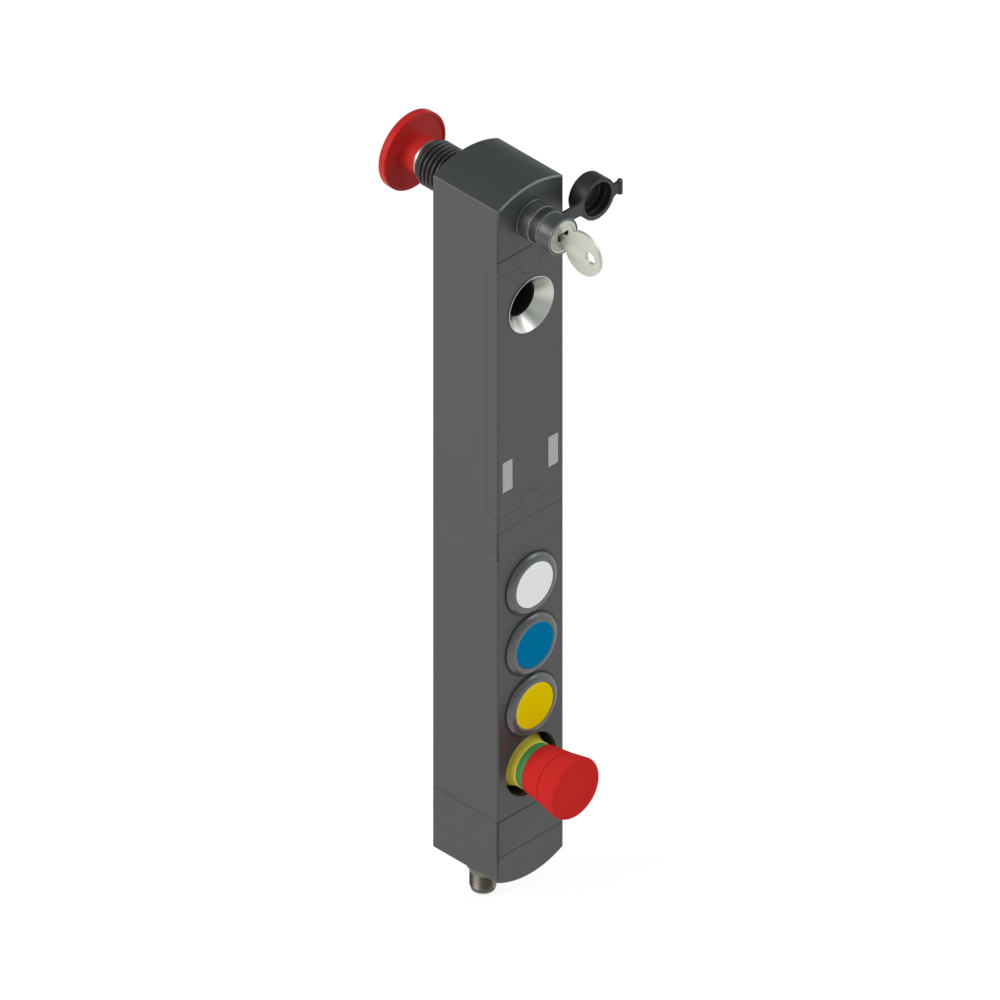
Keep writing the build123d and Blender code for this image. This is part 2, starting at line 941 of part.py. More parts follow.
def key():
    """Flat key with a round bow, a hole in it and cuts along its lower edge."""
    bow_y = lock_face_y() - key_standoff - key_bow_radius
    end = key_inner_y()
    h = key_blade / 2
    outline = Pos(bow_y, 0) * Circle(key_bow_radius)
    shoulder = end - key_point
    blade = [(bow_y, h), (shoulder, h), (end, 0), (shoulder, -h), (bow_y, -h)]
    outline += make_face(Polyline(*blade, close=True))
    outline -= Pos(bow_y - key_hole_offset, 0) * Circle(key_hole_radius)
    for n in range(bitting_count):
        cut = end - bitting_start - n * bitting_pitch
        low, w = -h - seat_gap, bitting_width
        notch = [(cut - w, low), (cut, -h + bitting_depth), (cut + w, low)]
        outline -= make_face(Polyline(*notch, close=True))
    return Pos(-key_thickness / 2, 0, key_z()) * extrude(Plane.YZ * outline, key_thickness)


# Rubber cap


def strap_front_y():
    return groove_front_y() + strap_inset


def strap_ring():
    """Ring in the lock's groove with the root of the strap."""
    y0 = groove_front_y() + seat_gap
    y1 = front - lock_collar_length - seat_gap
    y2 = strap_front_y()
    h = strap_width / 2
    ring = rod_y(strap_ring_radius, y0, y1, z=lock_z)
    ring += block(0, hinge_x - hinge_gap, y2, y2 + strap_thickness, lock_z - h, lock_z + h)
    return ring - rod_y(lock_groove_radius + seat_gap, y0 - over, y1 + over, z=lock_z)


def lock_cap():
    """Cup with the outer half of the strap on one side and a pull tab on the other."""
    y0 = strap_front_y()
    y1 = y0 + cap_depth
    cup = rod_y(cap_radius, y0, y1, cap_x, lock_z)
    cup = fillet(cup.edges().sort_by(Axis.Y)[-1], cap_edge)
    h = strap_width / 2
    cup += block(hinge_x + hinge_gap, cap_x, y0, y0 + strap_thickness, lock_z - h, lock_z + h)
    tab = tab_width / 2
    lip = strap_thickness / 2 + tab_lip
    cup += block(cap_x, tab_end - lip, y0, y0 + strap_thickness, lock_z - tab, lock_z + tab)
    tab += tab_lip_reach
    cup += rod_z(lip, lock_z - tab, lock_z + tab, tab_end - lip, y0 + tab_lip)
    return cup - rod_y(cap_radius - cap_wall, y0 - over, y1 - cap_wall, cap_x, lock_z)


# Escape release button


def bellows_end_y():
    return bellows_start + bellows_folds * bellows_pitch


def hub_y():
    return bellows_end_y() + seat_gap + collar_length


def disc_y():
    return hub_y() + hub_length


def rod_base_y():
    """Back of the rod's cone, which stops the button's way out."""
    return back_inside - bush_nut - rod_stop


def rod_tip_y():
    return rod_base_y() - rod_cone_length


def release_bush():
    bore = rod_radius + fit_gap
    points = [
        (bore, back_inside - bush_nut),
        (bush_radius, back_inside - bush_nut),
        (bush_radius, 0),
        (bush_flange_radius, 0),
        (bush_flange_radius, bush_flange),
        (bore, bush_flange),
    ]
    return turned_y(points, z=lock_z)


def release_bellows():
    """Folded rubber sleeve between the bush and the button."""
    cuff = bush_flange_radius + fit_gap
    cuff_end = bellows_start - bellows_cuff_gap
    outer = [(cuff + bellows_wall, seat_gap), (cuff + bellows_wall, cuff_end)]
    rise = bellows_slope * bellows_pitch
    for n in range(bellows_folds):
        y = bellows_start + n * bellows_pitch
        radius = bellows_radius if n < bellows_folds - 1 else bellows_end_radius
        outer += [(bellows_root, y), (radius, y + rise), (radius, y + bellows_pitch - rise)]
    outer.append((bellows_root, bellows_end_y()))
    inner = [(radius - bellows_wall, y) for radius, y in outer]
    return turned_y(outer + inner[::-1], z=lock_z)


def release_rod():
    """Rod with the cone that wedges the release bridge down."""
    base = rod_base_y()
    points = [
        (0, rod_tip_y()),
        (rod_cone_tip, rod_tip_y()),
        (rod_cone_radius, base - rod_cone_land),
        (rod_cone_radius, base),
        (rod_radius, base),
        (rod_radius, hub_y() + hub_length / 2),
        (0, hub_y() + hub_length / 2),
    ]
    return turned_y(points, z=lock_z)


def release_washer():
    bore = rod_radius + fit_gap
    y0, y1 = hub_y() - collar_length, hub_y()
    points = [(bore, y0), (collar_radius, y0), (collar_radius, y1), (bore, y1)]
    return turned_y(points, z=lock_z)


def release_button():
    """Wide disc on a hub, slightly crowned, pressed from inside the guarded area."""
    y0, y1 = hub_y(), disc_y()
    y2 = y1 + disc_thickness
    points = [
        (0, y2 + disc_crown),
        (0, y0 + hub_length / 2 + fit_gap),
        (rod_radius + fit_gap, y0 + hub_length / 2 + fit_gap),
        (rod_radius + fit_gap, y0),
        (hub_radius, y0),
        (hub_radius, y1 - hub_fillet[1]),
        (hub_radius + hub_fillet[0], y1 + disc_recess),
        (disc_radius - disc_rim - disc_recess, y1 + disc_recess),
        (disc_radius - disc_rim, y1),
        (disc_radius - disc_bevel / 2, y1),
        (disc_radius, y1 + disc_bevel / 2),
        (disc_radius, y2 - disc_bevel),
        (disc_radius - disc_bevel, y2),
    ]
    crown = cap_arc(disc_radius - disc_bevel, y2, y2 + disc_crown)
    return turned_y(points, z=lock_z, arcs=[crown])


# Push buttons


def lens_front_y():
    return front - bezel_rise


def contact_front_y():
    return front + contact_front


def board_front_y():
    return -button_board_offset - board_thickness


def button_bezel(z):
    """Domed ring on the panel with its threaded barrel."""
    y0, y1 = lens_front_y(), front + bezel_length
    stop = lens_radius - lens_wall - bezel_stop_lip
    points = [
        (bezel_lip_radius, y0),
        (bezel_bore, y0),
        (bezel_bore, y1 - bezel_stop),
        (stop, y1 - bezel_stop),
        (stop, y1),
        (bezel_barrel, y1),
        (bezel_barrel, front),
        (bezel_radius, front),
        (bezel_radius, front - bezel_edge),
    ]
    middle_radius = (bezel_radius + bezel_lip_radius) / 2 + bezel_bulge[0]
    middle = (middle_radius, (y0 + front) / 2 - bezel_bulge[1])
    dome = ThreePointArc((bezel_radius, front - bezel_edge), middle, (bezel_lip_radius, y0))
    return turned_y(points, z=z, arcs=[dome])


def ring_nut(bore, y0, z):
    """Ring nut that clamps a device to the panel from inside."""
    ring = rod_y(bore + nut_width, y0, y0 + nut_thickness, z=z)
    return ring - rod_y(bore + fit_gap, y0 - over, y0 + nut_thickness + over, z=z)


def button_bezels():
    return group(button_bezel(z) for z in button_levels[:3])


def button_lens(z):
    y0 = lens_front_y()
    inner = lens_radius - lens_wall
    points = [
        (0, y0),
        (lens_radius - lens_bevel, y0),
        (lens_radius, y0 + lens_bevel),
        (lens_radius, y0 + lens_skirt),
        (inner, y0 + lens_skirt),
        (inner, y0 + lens_wall),
        (0, y0 + lens_wall),
    ]
    return turned_y(points, z=z)


def button_plunger(z):
    y0 = lens_front_y() + lens_wall
    y1 = y0 + plunger_disc
    reach = contact_front_y() + button_stroke
    rim = lens_radius - lens_wall - fit_gap
    disc = [(0, y0), (rim, y0), (rim, y1)]
    return turned_y([*disc, (plunger_radius, y1), (plunger_radius, reach), (0, reach)], z=z)


def button_spring(z):
    y0 = lens_front_y() + lens_wall + plunger_disc + seat_gap
    return spring_y(button_spring_radius, spring_wire, y0, contact_front_y() - seat_gap, z)


def contact_block(z):
    """Switch block on the board with the bore that guides a plunger."""
    half = contact_size / 2
    y0, y1 = contact_front_y(), board_front_y()
    solid = block(-half, half, y0, y1, z - half, z + half)
    solid = chamfer(solid.edges().filter_by(Axis.Y), contact_bevel)
    deep = contact_front_y() + 2 * button_stroke + end_gap
    return solid - rod_y(plunger_radius + fit_gap, y0 - over, deep, z=z)


def stop_contact_block():
    half = contact_size / 2
    y0, y1 = stop_barrel_end_y() + seat_gap, board_front_y()
    solid = block(-half, half, y0, y1, stop_z - half, stop_z + half)
    solid = chamfer(solid.edges().filter_by(Axis.Y), contact_bevel)
    deep = stem_end_y() + stop_stroke + end_gap
    return solid - rod_y(stem_radius + fit_gap, y0 - over, deep, z=stop_z)


def contact_blocks():
    return group([contact_block(z) for z in button_levels[:3]] + [stop_contact_block()])


def button_board_levels():
    edge = contact_size / 2 - spacer_inset
    return [stop_z - edge, button_levels[0] + edge]


def button_board():
    w = button_board_width / 2
    low = button_board_levels()[0] - spacer_inset
    high = button_board_levels()[1] + spacer_inset
    return block(-w, w, board_front_y(), -button_board_offset, low, high)


# Stop button


def well_floor_y():
    return front_inside + well_depth - well_floor


def stop_barrel_end_y():
    return well_floor_y() + well_floor + nut_thickness


def stop_well():
    """Cup behind the panel in which the stop button's base is sunk."""
    outer = stop_opening + well_wall
    y0, y1 = front_inside, well_floor_y() + well_floor
    well = rod_y(outer, y0, y1, z=stop_z)
    well -= rod_y(stop_opening, y0 - over, well_floor_y(), z=stop_z)
    return well - rod_y(stop_barrel_radius + fit_gap, y0, y1 + over, z=stop_z)


def collar_floor_y():
    return front + green_seat


def stop_collar():
    """Yellow base: a collar that flares out towards the bottom of the well."""
    y_top = front - stop_collar_rise
    points = [
        (green_radius - green_rebate, y_top),
        (stop_collar_radius - stop_collar_bevel, y_top),
        (stop_collar_radius, y_top + stop_collar_bevel),
        (stop_collar_radius, front + stop_flare_start),
        (stop_flare_radius, front + stop_flare_depth),
        (stop_flare_radius, well_floor_y()),
        (stop_barrel_radius, well_floor_y()),
        (stop_barrel_radius, stop_barrel_end_y()),
        (stem_radius + fit_gap, stop_barrel_end_y()),
        (stem_radius + fit_gap, collar_floor_y()),
        (green_radius - green_rebate, collar_floor_y()),
    ]
    return turned_y(points, z=stop_z)


def stop_green_ring():
    """Green band that shows while the button is up."""
    y_top = front - green_rise
    seat = front - stop_collar_rise
    spigot = green_radius - green_rebate - fit_gap
    points = [
        (green_bore, y_top),
        (green_radius, y_top),
        (green_radius, seat),
        (spigot, seat),
        (spigot, collar_floor_y() - seat_gap),
        (green_bore, collar_floor_y() - seat_gap),
    ]
    return turned_y(points, z=stop_z)


def skirt_floor_y():
    return front - green_rise - stop_stroke - end_gap


def skirt_top_y():
    return front - groove_rise + groove_half


def stem_end_y():
    return stop_barrel_end_y() + seat_gap + stem_clearance + stop_stroke


def stop_skirt():
    """Lower half of the red head, which slides down over the green band."""
    y0 = front - green_rise
    floor = skirt_floor_y()
    cavity = floor - skirt_floor
    points = [
        (skirt_bore, y0),
        (skirt_radius, y0),
        (groove_radius, skirt_top_y()),
        (head_cavity, skirt_top_y()),
        (head_cavity, cavity),
        (stem_radius + fit_gap, cavity),
        (stem_radius + fit_gap, floor),
        (skirt_bore, floor),
    ]
    return turned_y(points, z=stop_z)


def stop_cap():
    """Upper half of the red head, with a rounded edge and a slightly dished face."""
    y0 = front - groove_rise - groove_half
    wide = front - head_widest
    face = front - head_rise
    spigot = head_cavity - fit_gap
    points = [
        (0, face + dish_depth),
        (0, y0),
        (spigot - head_spigot, y0),
        (spigot - head_spigot, y0 + head_spigot),
        (spigot, y0 + head_spigot),
        (spigot, y0),
        (groove_radius, y0),
        (head_radius, wide),
    ]
    middle = (head_radius - head_bulge[0], (wide + face) / 2 - head_bulge[1])
    edge = ThreePointArc((head_radius, wide), middle, (dish_radius, face))
    dish = cap_arc(dish_radius, face, face + dish_depth)
    return turned_y(points, z=stop_z, arcs=[edge, dish])


def stop_stem():
    y_flange = skirt_floor_y() - skirt_floor - seat_gap
    points = [
        (0, y_flange - stem_flange),
        (stem_flange_radius, y_flange - stem_flange),
        (stem_flange_radius, y_flange),
        (stem_radius, y_flange),
        (stem_radius, stem_end_y()),
        (0, stem_end_y()),
    ]
    return turned_y(points, z=stop_z)


def stop_spring():
    y0, y1 = skirt_floor_y() + seat_gap, collar_floor_y() - seat_gap
    return spring_y(stop_spring_radius, spring_wire, y0, y1, stop_z)


# Plug connector


def plug_levels():
    """Levels of the boss's end, the thread's start and end, and the tip."""
    boss = cap_corner - crown_rise - plug_boss_length
    start = boss - plug_collar_length
    end = start - plug_thread_length
    return boss, start, end, end - plug_tip_length


def plug_nut_seat():
    return cap_corner + wall


def plug_boss():
    """Moulded boss through the end cap, held by a nut inside."""
    boss = plug_levels()[0]
    top = plug_nut_seat() + plug_nut_thickness
    bore = plug_thread_radius + fit_gap
    points = [
        (bore, boss),
        (plug_boss_radius - plug_boss_bevel, boss),
        (plug_boss_radius, boss + plug_boss_bevel),
        (plug_boss_radius, top),
        (bore, top),
    ]
    return turned_z(points, y=plug_y)


def plug_shell():
    """Metal shell of the connector with its outer thread as a plain cylinder."""
    boss, start, end, tip = plug_levels()
    top = plug_nut_seat()
    points = [
        (plug_bore, tip),
        (plug_tip_radius, tip),
        (plug_thread_radius, end),
        (plug_thread_radius, start),
        (plug_collar_radius, start),
        (plug_collar_radius, boss),
        (plug_thread_radius, boss),
        (plug_thread_radius, top),
        (plug_bore, top),
    ]
    return turned_z(points, y=plug_y)


def plug_insert():
    """Insulating body with the keying rib, holding the pins."""
    tip = plug_levels()[3]
    low = tip + insert_recess
    top = plug_nut_seat()
    body = rod_z(plug_bore - fit_gap, low, top, y=plug_y)
    return body - plug_pin_solids(fit_gap)


def plug_pin_solids(grow=0.0):
    tip = plug_levels()[3]
    low = tip + pin_recess
    top = plug_nut_seat() + pin_tail
    places = [(0, 0)]
    for n in range(pin_count):
        spot = Vector(pin_circle, 0).rotate(Axis.Z, n * 360 / pin_count)
        places.append((spot.X, spot.Y))
    return [rod_z(pin_radius + grow, low, top, x, plug_y + y) for x, y in places]


def plug_pins():
    return group(plug_pin_solids())


def plug_nut():
    seat = plug_nut_seat()
    ring = rod_z(plug_nut_radius, seat, seat + plug_nut_thickness, y=plug_y)
    top = seat + plug_nut_thickness + over
    return ring - rod_z(plug_boss_radius + fit_gap, seat - over, top, y=plug_y)


def device_nuts():
    """Nuts that hold the lock, the release, the buttons and the connector from inside."""
    nuts = [ring_nut(bezel_barrel, front_inside, z) for z in button_levels[:3]]
    nuts.append(ring_nut(stop_barrel_radius, well_floor_y() + well_floor, stop_z))
    nuts.append(hex_nut(barrel_radius, front_inside, front_inside + lock_nut_thickness))
    nuts.append(hex_nut(bush_radius, back_inside - bush_nut, back_inside))
    nuts.append(plug_nut())
    return group(nuts)


def all_parts():
    parts = {
        "head_housing": head_housing(),
        "body_housing": body_housing(),
        "front_cover": front_cover(),
        "screw_covers": group(screw_cover(end) for end in (-1, 1)),
        "upper_adapter": upper_adapter(),
        "button_housing": button_housing(),
        "lower_adapter": lower_adapter(),
        "end_cap": end_cap(),
        "seam_gaskets": group(seam_gasket(z) for z in seams),
        "tie_screws": group(tie_screw(z, side) for z in seams for side in (-1, 1)),
        "funnel_ring": funnel_ring(),
        "actuator_pocket": actuator_pocket(),
        "antenna_coil": antenna_coil(),
        "light_windows": group(light_window(side) for side in (-1, 1)),
        "light_board": light_board(),
        "board_spacers": board_spacers(),
        "main_board": main_board(),
        "locking_bolt": locking_bolt(),
        "release_frame": release_frame(),
        "solenoid_bobbin": bobbin(),
        "solenoid_winding": winding(),
        "solenoid_yoke": yoke(),
        "lock_spring": lock_spring(),
        "lock_collar": lock_collar(),
        "lock_sleeve": lock_sleeve(),
        "lock_barrel": lock_barrel(),
        "lock_plug": lock_plug(),
        "release_cam": release_cam(),
        "key": key(),
        "strap_ring": strap_ring(),
        "lock_cap": lock_cap(),
        "release_bush": release_bush(),
        "release_bellows": release_bellows(),
        "release_rod": release_rod(),
        "release_washer": release_washer(),
        "release_button": release_button(),
        "button_board": button_board(),
        "contact_blocks": contact_blocks(),
        "button_bezels": button_bezels(),
        "stop_well": stop_well(),
        "stop_collar": stop_collar(),
        "stop_green_ring": stop_green_ring(),
        "stop_skirt": stop_skirt(),
        "stop_cap": stop_cap(),
        "stop_stem": stop_stem(),
        "stop_spring": stop_spring(),
        "plug_boss": plug_boss(),
        "plug_shell": plug_shell(),
        "plug_insert": plug_insert(),
        "plug_pins": plug_pins(),
        "device_nuts": device_nuts(),
    }
    for colour, z in zip(button_colours, button_levels):
        parts[f"{colour}_lens"] = button_lens(z)
        parts[f"{colour}_plunger"] = button_plunger(z)
        parts[f"{colour}_spring"] = button_spring(z)
    return parts


def main():
    os.makedirs("parts", exist_ok=True)
    for name, solid in all_parts().items():
        export_step(solid, f"parts/{name}.step")


main()
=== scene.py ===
"""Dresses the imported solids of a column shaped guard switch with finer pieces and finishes.

Lengths are in millimetres until a mesh is made, and in metres from then on.
"""

import json
import math

import bmesh
import bpy
from bpy.props import FloatProperty, FloatVectorProperty, IntProperty, PointerProperty
from mathutils import Matrix, Vector


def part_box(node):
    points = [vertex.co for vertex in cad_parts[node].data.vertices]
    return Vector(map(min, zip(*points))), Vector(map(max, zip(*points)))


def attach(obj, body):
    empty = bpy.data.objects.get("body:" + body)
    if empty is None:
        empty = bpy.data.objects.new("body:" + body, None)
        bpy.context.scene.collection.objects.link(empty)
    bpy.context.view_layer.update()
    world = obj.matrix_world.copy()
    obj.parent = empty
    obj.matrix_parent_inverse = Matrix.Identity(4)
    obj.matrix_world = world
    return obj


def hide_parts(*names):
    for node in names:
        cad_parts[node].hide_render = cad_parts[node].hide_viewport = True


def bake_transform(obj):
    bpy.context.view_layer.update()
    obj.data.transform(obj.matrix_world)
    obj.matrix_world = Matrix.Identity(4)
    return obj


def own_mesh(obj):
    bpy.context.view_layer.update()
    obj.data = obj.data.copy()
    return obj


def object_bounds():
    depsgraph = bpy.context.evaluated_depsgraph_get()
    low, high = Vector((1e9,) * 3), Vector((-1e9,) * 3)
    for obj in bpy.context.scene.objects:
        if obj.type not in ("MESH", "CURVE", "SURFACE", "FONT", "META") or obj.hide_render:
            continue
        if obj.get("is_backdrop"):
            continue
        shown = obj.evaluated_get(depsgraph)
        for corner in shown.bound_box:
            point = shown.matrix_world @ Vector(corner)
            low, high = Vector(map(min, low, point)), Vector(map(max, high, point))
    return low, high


bl_info = {
    "name": "Guard switch with stop button",
    "version": (1, 0, 0),
    "blender": (4, 5, 0),
    "location": "3D View > Sidebar > Guard switch",
    "description": "Builds the visible pieces of a column shaped guard switch round its packed solids",
    "category": "Object",
}

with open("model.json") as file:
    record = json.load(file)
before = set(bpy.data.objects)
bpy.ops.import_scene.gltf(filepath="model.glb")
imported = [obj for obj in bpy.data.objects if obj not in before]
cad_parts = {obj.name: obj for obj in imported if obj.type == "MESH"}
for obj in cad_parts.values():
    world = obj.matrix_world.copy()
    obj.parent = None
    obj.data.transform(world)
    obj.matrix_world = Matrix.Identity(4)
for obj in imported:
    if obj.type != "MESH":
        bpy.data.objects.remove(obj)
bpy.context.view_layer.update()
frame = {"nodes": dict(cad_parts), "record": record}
SLOT_OF = {part["node"]: part["material_slot"] for part in frame["record"]["subparts"]}
MM = 0.001


def node_box(node):
    """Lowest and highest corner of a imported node, in millimetres."""
    low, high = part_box(node)
    return low / MM, high / MM


def node_middle(node):
    low, high = node_box(node)
    return (low + high) / 2


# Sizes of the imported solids, in millimetres
CROWN_RISE = 4.9
TAB_REACH = 14.7
DISC_DEPTH = 5.3
COLLAR_LENGTH = 7.1

FRONT = node_box("front_cover")[0].y
LOCK_Z = node_middle("lock_collar").z
CAP_X = node_box("lock_cap")[1].x - TAB_REACH
STOP_Z = node_middle("stop_cap").z
PLUG_Y = node_middle("plug_shell").y
HEAD_CORNER = node_box("head_housing")[1].z - CROWN_RISE
DISC_FRONT = node_box("release_button")[1].y - DISC_DEPTH
BUTTONS = {name: node_middle(f"{name}_lens").z for name in ("white", "blue", "yellow")}

LOCK, STOP, PLUG = (0, LOCK_Z), (0, STOP_Z), (0, PLUG_Y)

# Level of each seam between two modules, and its share of painted shade, which draws the seam's shadow line
SEAM_SHADES = {71.5: 0.5, -71.5: 0.35, -86.0: 1.0, -223.5: 0.9, -242.5: 0.8}

# Merging distances of points in metres, and angles of edges in radians
SAME_POINT = 1e-7
GRID_SEAM = 1e-6
NEAR_POINT = 2e-6
FLAT_ANGLE = math.radians(0.5)
SHARP_EDGE = math.radians(35)
SEAM_WIDTH = 0.3 * MM

# Widest face of a bevel as a share of the bevel, and the pale tone painted on it as the edge's highlight
BEVEL_FACE = 0.6
EDGE_HIGHLIGHT = 0.12

# Stage, in metres
FLOOR_DROP = 0.002
FLOOR_HALF = 6.0
LAMP_TARGET = Vector((0, -20, -73)) * MM
CAMERA_TARGET = Vector((0.65, -20.65, -72.9)) * MM
CAMERA_SIDE = Vector((-1.0, -1.0, 1.0)).normalized()
CAMERA_DISTANCE = 1.6
CAMERA_SCALE = 0.43085
CAMERA_REACH = 20.0


# Sizes, colours and lights that a user may change


def count(name, description, default, low, high):
    return IntProperty(name=name, description=description, default=default, min=low, max=high)


def number(name, description, default, low, high, unit="NONE"):
    return FloatProperty(
        name=name, description=description, default=default, min=low, max=high, unit=unit
    )


def length(name, description, default, low, high):
    """Length that is given in millimetres and kept in metres."""
    return number(name, description, default * MM, low * MM, high * MM, "LENGTH")


def paint(name, description, colour, high=1.0):
    return FloatVectorProperty(
        name=name, description=description, subtype="COLOR", size=3, min=0.0, max=high, default=colour
    )


class SwitchSizes(bpy.types.PropertyGroup):
    segments: count("Segments", "Segments round each turned piece", 112, 24, 256)
    edge_bevel: length(
        "Edge bevel", "Rounding of the housing edges that the solids leave sharp", 0.24, 0.02, 0.5
    )
    crown_bevel: length("Crown bevel", "Rounding of the head's curved edges", 0.34, 0.1, 0.8)
    bellows_folds: count("Bellows folds", "Folds of the release button's rubber bellows", 7, 3, 10)
    thread_pitch: length("Thread pitch", "Pitch of the connector's thread", 1.0, 0.5, 1.5)
    thread_depth: length("Thread depth", "Depth of the connector's thread", 0.5, 0.1, 0.55)
    pin_count: count("Pins", "Connector pins on the circle round the middle one", 7, 3, 11)


class SwitchColours(bpy.types.PropertyGroup):
    housing: paint("Housing", "Moulded housing and front cover", (0.0367, 0.0394, 0.0385))
    bezel: paint("Bezels", "Rings round the push buttons", (0.056, 0.055, 0.056))
    lock: paint("Lock body", "Collar and sleeve of the key lock", (0.040, 0.043, 0.043))
    cap: paint("Rubber cap", "Cap of the key lock and its strap", (0.0125, 0.0118, 0.0105))
    bellows: paint("Bellows", "Bellows of the release button", (0.014, 0.0134, 0.0122))
    release: paint("Release button", "Disc of the escape release", (0.45, 0.019, 0.016))
    stop: paint("Stop button", "Head of the stop button", (0.50, 0.022, 0.020))
    base: paint("Stop base", "Yellow base of the stop button", (0.86, 0.69, 0.070))
    band: paint("Stop band", "Green band under the stop button's head", (0.058, 0.28, 0.085))
    white: paint("White button", "Lens of the first push button", (0.76, 0.74, 0.72))
    blue: paint("Blue button", "Lens of the second push button", (0.001, 0.148, 0.305))
    yellow: paint("Yellow button", "Lens of the third push button", (0.69, 0.485, 0.001))
    window: paint("Light windows", "Light pipes in the front cover", (0.385, 0.370, 0.362))
    key: paint("Key", "Key and the face of the lock", (0.52, 0.52, 0.455))


class SwitchStage(bpy.types.PropertyGroup):
    floor: paint("Floor", "Floor under the part", (0.20, 0.20, 0.20))
    floor_glow: number("Floor glow", "Light of its own that makes the floor plain white", 0.86, 0.0, 2.0)
    sky: number("Sky", "Strength of the even light from all round", 0.70, 0.0, 5.0)
    even: paint("Even light", "Colour of the light from all round", (1.0, 1.0, 1.0))
    ahead: paint("Light ahead", "Colour of the light from in front of the part", (0.80, 0.88, 0.88))
    panel: paint("Panel", "Colour of the bright panel to the right of the part", (1.55, 1.7, 1.8), 4.0)
    dim: paint("Dim side", "Colour of the dim part of the studio behind the part", (0.16, 0.21, 0.25))
    key_light: number("Key light", "Soft light from the upper left", 13.6, 0.0, 50.0, "POWER")
    right_light: number("Right light", "Soft light from the upper right", 2.4, 0.0, 50.0, "POWER")


# Nodes of materials and geometry, written as sums


class Value:
    """A socket that can stand in a sum. Each sum adds its Math node."""

    def __init__(self, nodes, socket):
        self.nodes = nodes
        self.socket = socket

    def to(self, operation, *others):
        made = self.nodes.node(
            "ShaderNodeMath", {"operation": operation}, dict(enumerate((self, *others)))
        )
        return Value(self.nodes, made.outputs[0])

    def limited(self):
        """The value, kept from 0 to 1."""
        return self.to("MAXIMUM", 0.0).to("MINIMUM", 1.0)

    def ridges(self, pitch):
        """Even ridges from 0 to 1 along a length in metres, by a pitch in millimetres."""
        return (self * (1.0 / (pitch * MM))).to("FRACT").to("PINGPONG", 0.5) * 2.0

    def __add__(self, other):
        return self.to("ADD", other)

    __radd__ = __add__

    def __sub__(self, other):
        return self.to("SUBTRACT", other)

    def __rsub__(self, other):
        return self.to("MULTIPLY", -1.0).to("ADD", other)

    def __mul__(self, other):
        return self.to("MULTIPLY", other)

    __rmul__ = __mul__

    def __truediv__(self, other):
        return self.to("DIVIDE", other)


class Nodes:
    """Adds nodes to one tree. A node's settings are set before its sockets' values and links."""

    def __init__(self, tree):
        self.tree = tree

    def node(self, kind, settings=None, inputs=None):
        made = self.tree.nodes.new(kind)
        for name, setting in (settings or {}).items():
            setattr(made, name, setting)
        for name, given in (inputs or {}).items():
            self.put(made.inputs[name], given)
        return made

    def put(self, socket, given):
        """Links a socket to a value or to another socket, or sets it to a constant."""
        given = given.socket if isinstance(given, Value) else given
        if isinstance(given, bpy.types.NodeSocket):
            self.tree.links.new(given, socket)
        else:
            socket.default_value = given

    def value(self, kind, settings=None, inputs=None, output=0):
        return Value(self, self.node(kind, settings, inputs).outputs[output])

    def axes(self, place):
        parts = self.node("ShaderNodeSeparateXYZ", None, {0: place})
        return [Value(self, parts.outputs[n]) for n in range(3)]

    def mix(self, share, first, second):
        """Colour between two colours, by a share from 0 to 1."""
        ends = [end if isinstance(end, Value) else (*end, 1.0) for end in (first, second)]
        made = self.node("ShaderNodeMix", {"data_type": "RGBA"})
        for name, given in {"Factor": share, "A": ends[0], "B": ends[1]}.items():
            self.put(next(s for s in made.inputs if s.name == name and s.enabled), given)
        return Value(self, next(s for s in made.outputs if s.enabled))


class Finish(Nodes):
    """One material, with a Principled shader and the patterns that feed it."""

    def __init__(self, name, **shader):
        self.material = bpy.data.materials.new(name)
        self.material.use_nodes = True
        super().__init__(self.material.node_tree)
        self.tree.nodes.clear()
        self.shader = self.node("ShaderNodeBsdfPrincipled")
        for key, constant in shader.items():
            self.entry(key).default_value = constant
        surface = {"Surface": self.shader.outputs["BSDF"]}
        self.node("ShaderNodeOutputMaterial", None, surface)
        self.place = self.node("ShaderNodeTexCoord").outputs["Object"]

    def entry(self, key):
        """The shader's socket of a name such as base_color."""
        return next(s for s in self.shader.inputs if s.name.lower() == key.replace("_", " "))

    def feed(self, **inputs):
        for key, given in inputs.items():
            self.tree.links.new(given.socket, self.entry(key))

    def painted_light(self):
        """Share of painted edge highlight and share of painted seam shade that a mesh carries as one signed
        value.
        """
        signed = self.value("ShaderNodeAttribute", {"attribute_name": "painted_light"}, None, "Fac")
        return signed.limited(), (signed * -1.0).limited()

    def moved(self, centre, scale=(1.0, 1.0, 1.0)):
        """Object coordinates from a centre in millimetres, stretched by a scale."""
        offset = [-part * MM for part in centre]
        spot = self.place
        for operation, vector in (("ADD", offset), ("MULTIPLY", scale)):
            spot = self.node(
                "ShaderNodeVectorMath", {"operation": operation}, {0: spot, 1: vector}
            ).outputs[0]
        return spot

    def noise(self, size, detail=3.0, place=None, rough=0.55):
        """Noise from 0 to 1 whose grains are about size millimetres wide."""
        inputs = {
            "Vector": place or self.place,
            "Scale": 1.0 / (size * MM),
            "Detail": detail,
            "Roughness": rough,
        }
        return self.value("ShaderNodeTexNoise", None, inputs, "Fac")

    def toned(self, share, colour, low, high):
        """A colour that runs from a low to a high shade by a share from 0 to 1."""
        return self.mix(share, shade(colour, low), shade(colour, high))

    def roughen(self, middle, *swings):
        """Feeds the roughness from its middle and (pattern, swing) pairs."""
        parts = [(pattern - 0.5) * swing for pattern, swing in swings]
        self.feed(roughness=sum(parts[1:], parts[0]) + middle)

    def bump(self, height, depth):
        """Feeds the normal from a height of 0 to 1 that stands for a depth in millimetres."""
        inputs = {"Height": height, "Distance": depth * MM, "Strength": 1.0}
        self.feed(normal=self.value("ShaderNodeBump", None, inputs, "Normal"))


def shade(colour, factor):
    return tuple(min(1.0, part * factor) for part in colour)


def edge_highlight_tone(colour):
    """Pale cool tone painted on rounded edges as their highlight and sky reflection, no stronger on bright
    colours.
    """
    return tuple(part + 0.16 * (1 - part) * tint for part, tint in zip(colour, (0.86, 0.95, 1.0)))


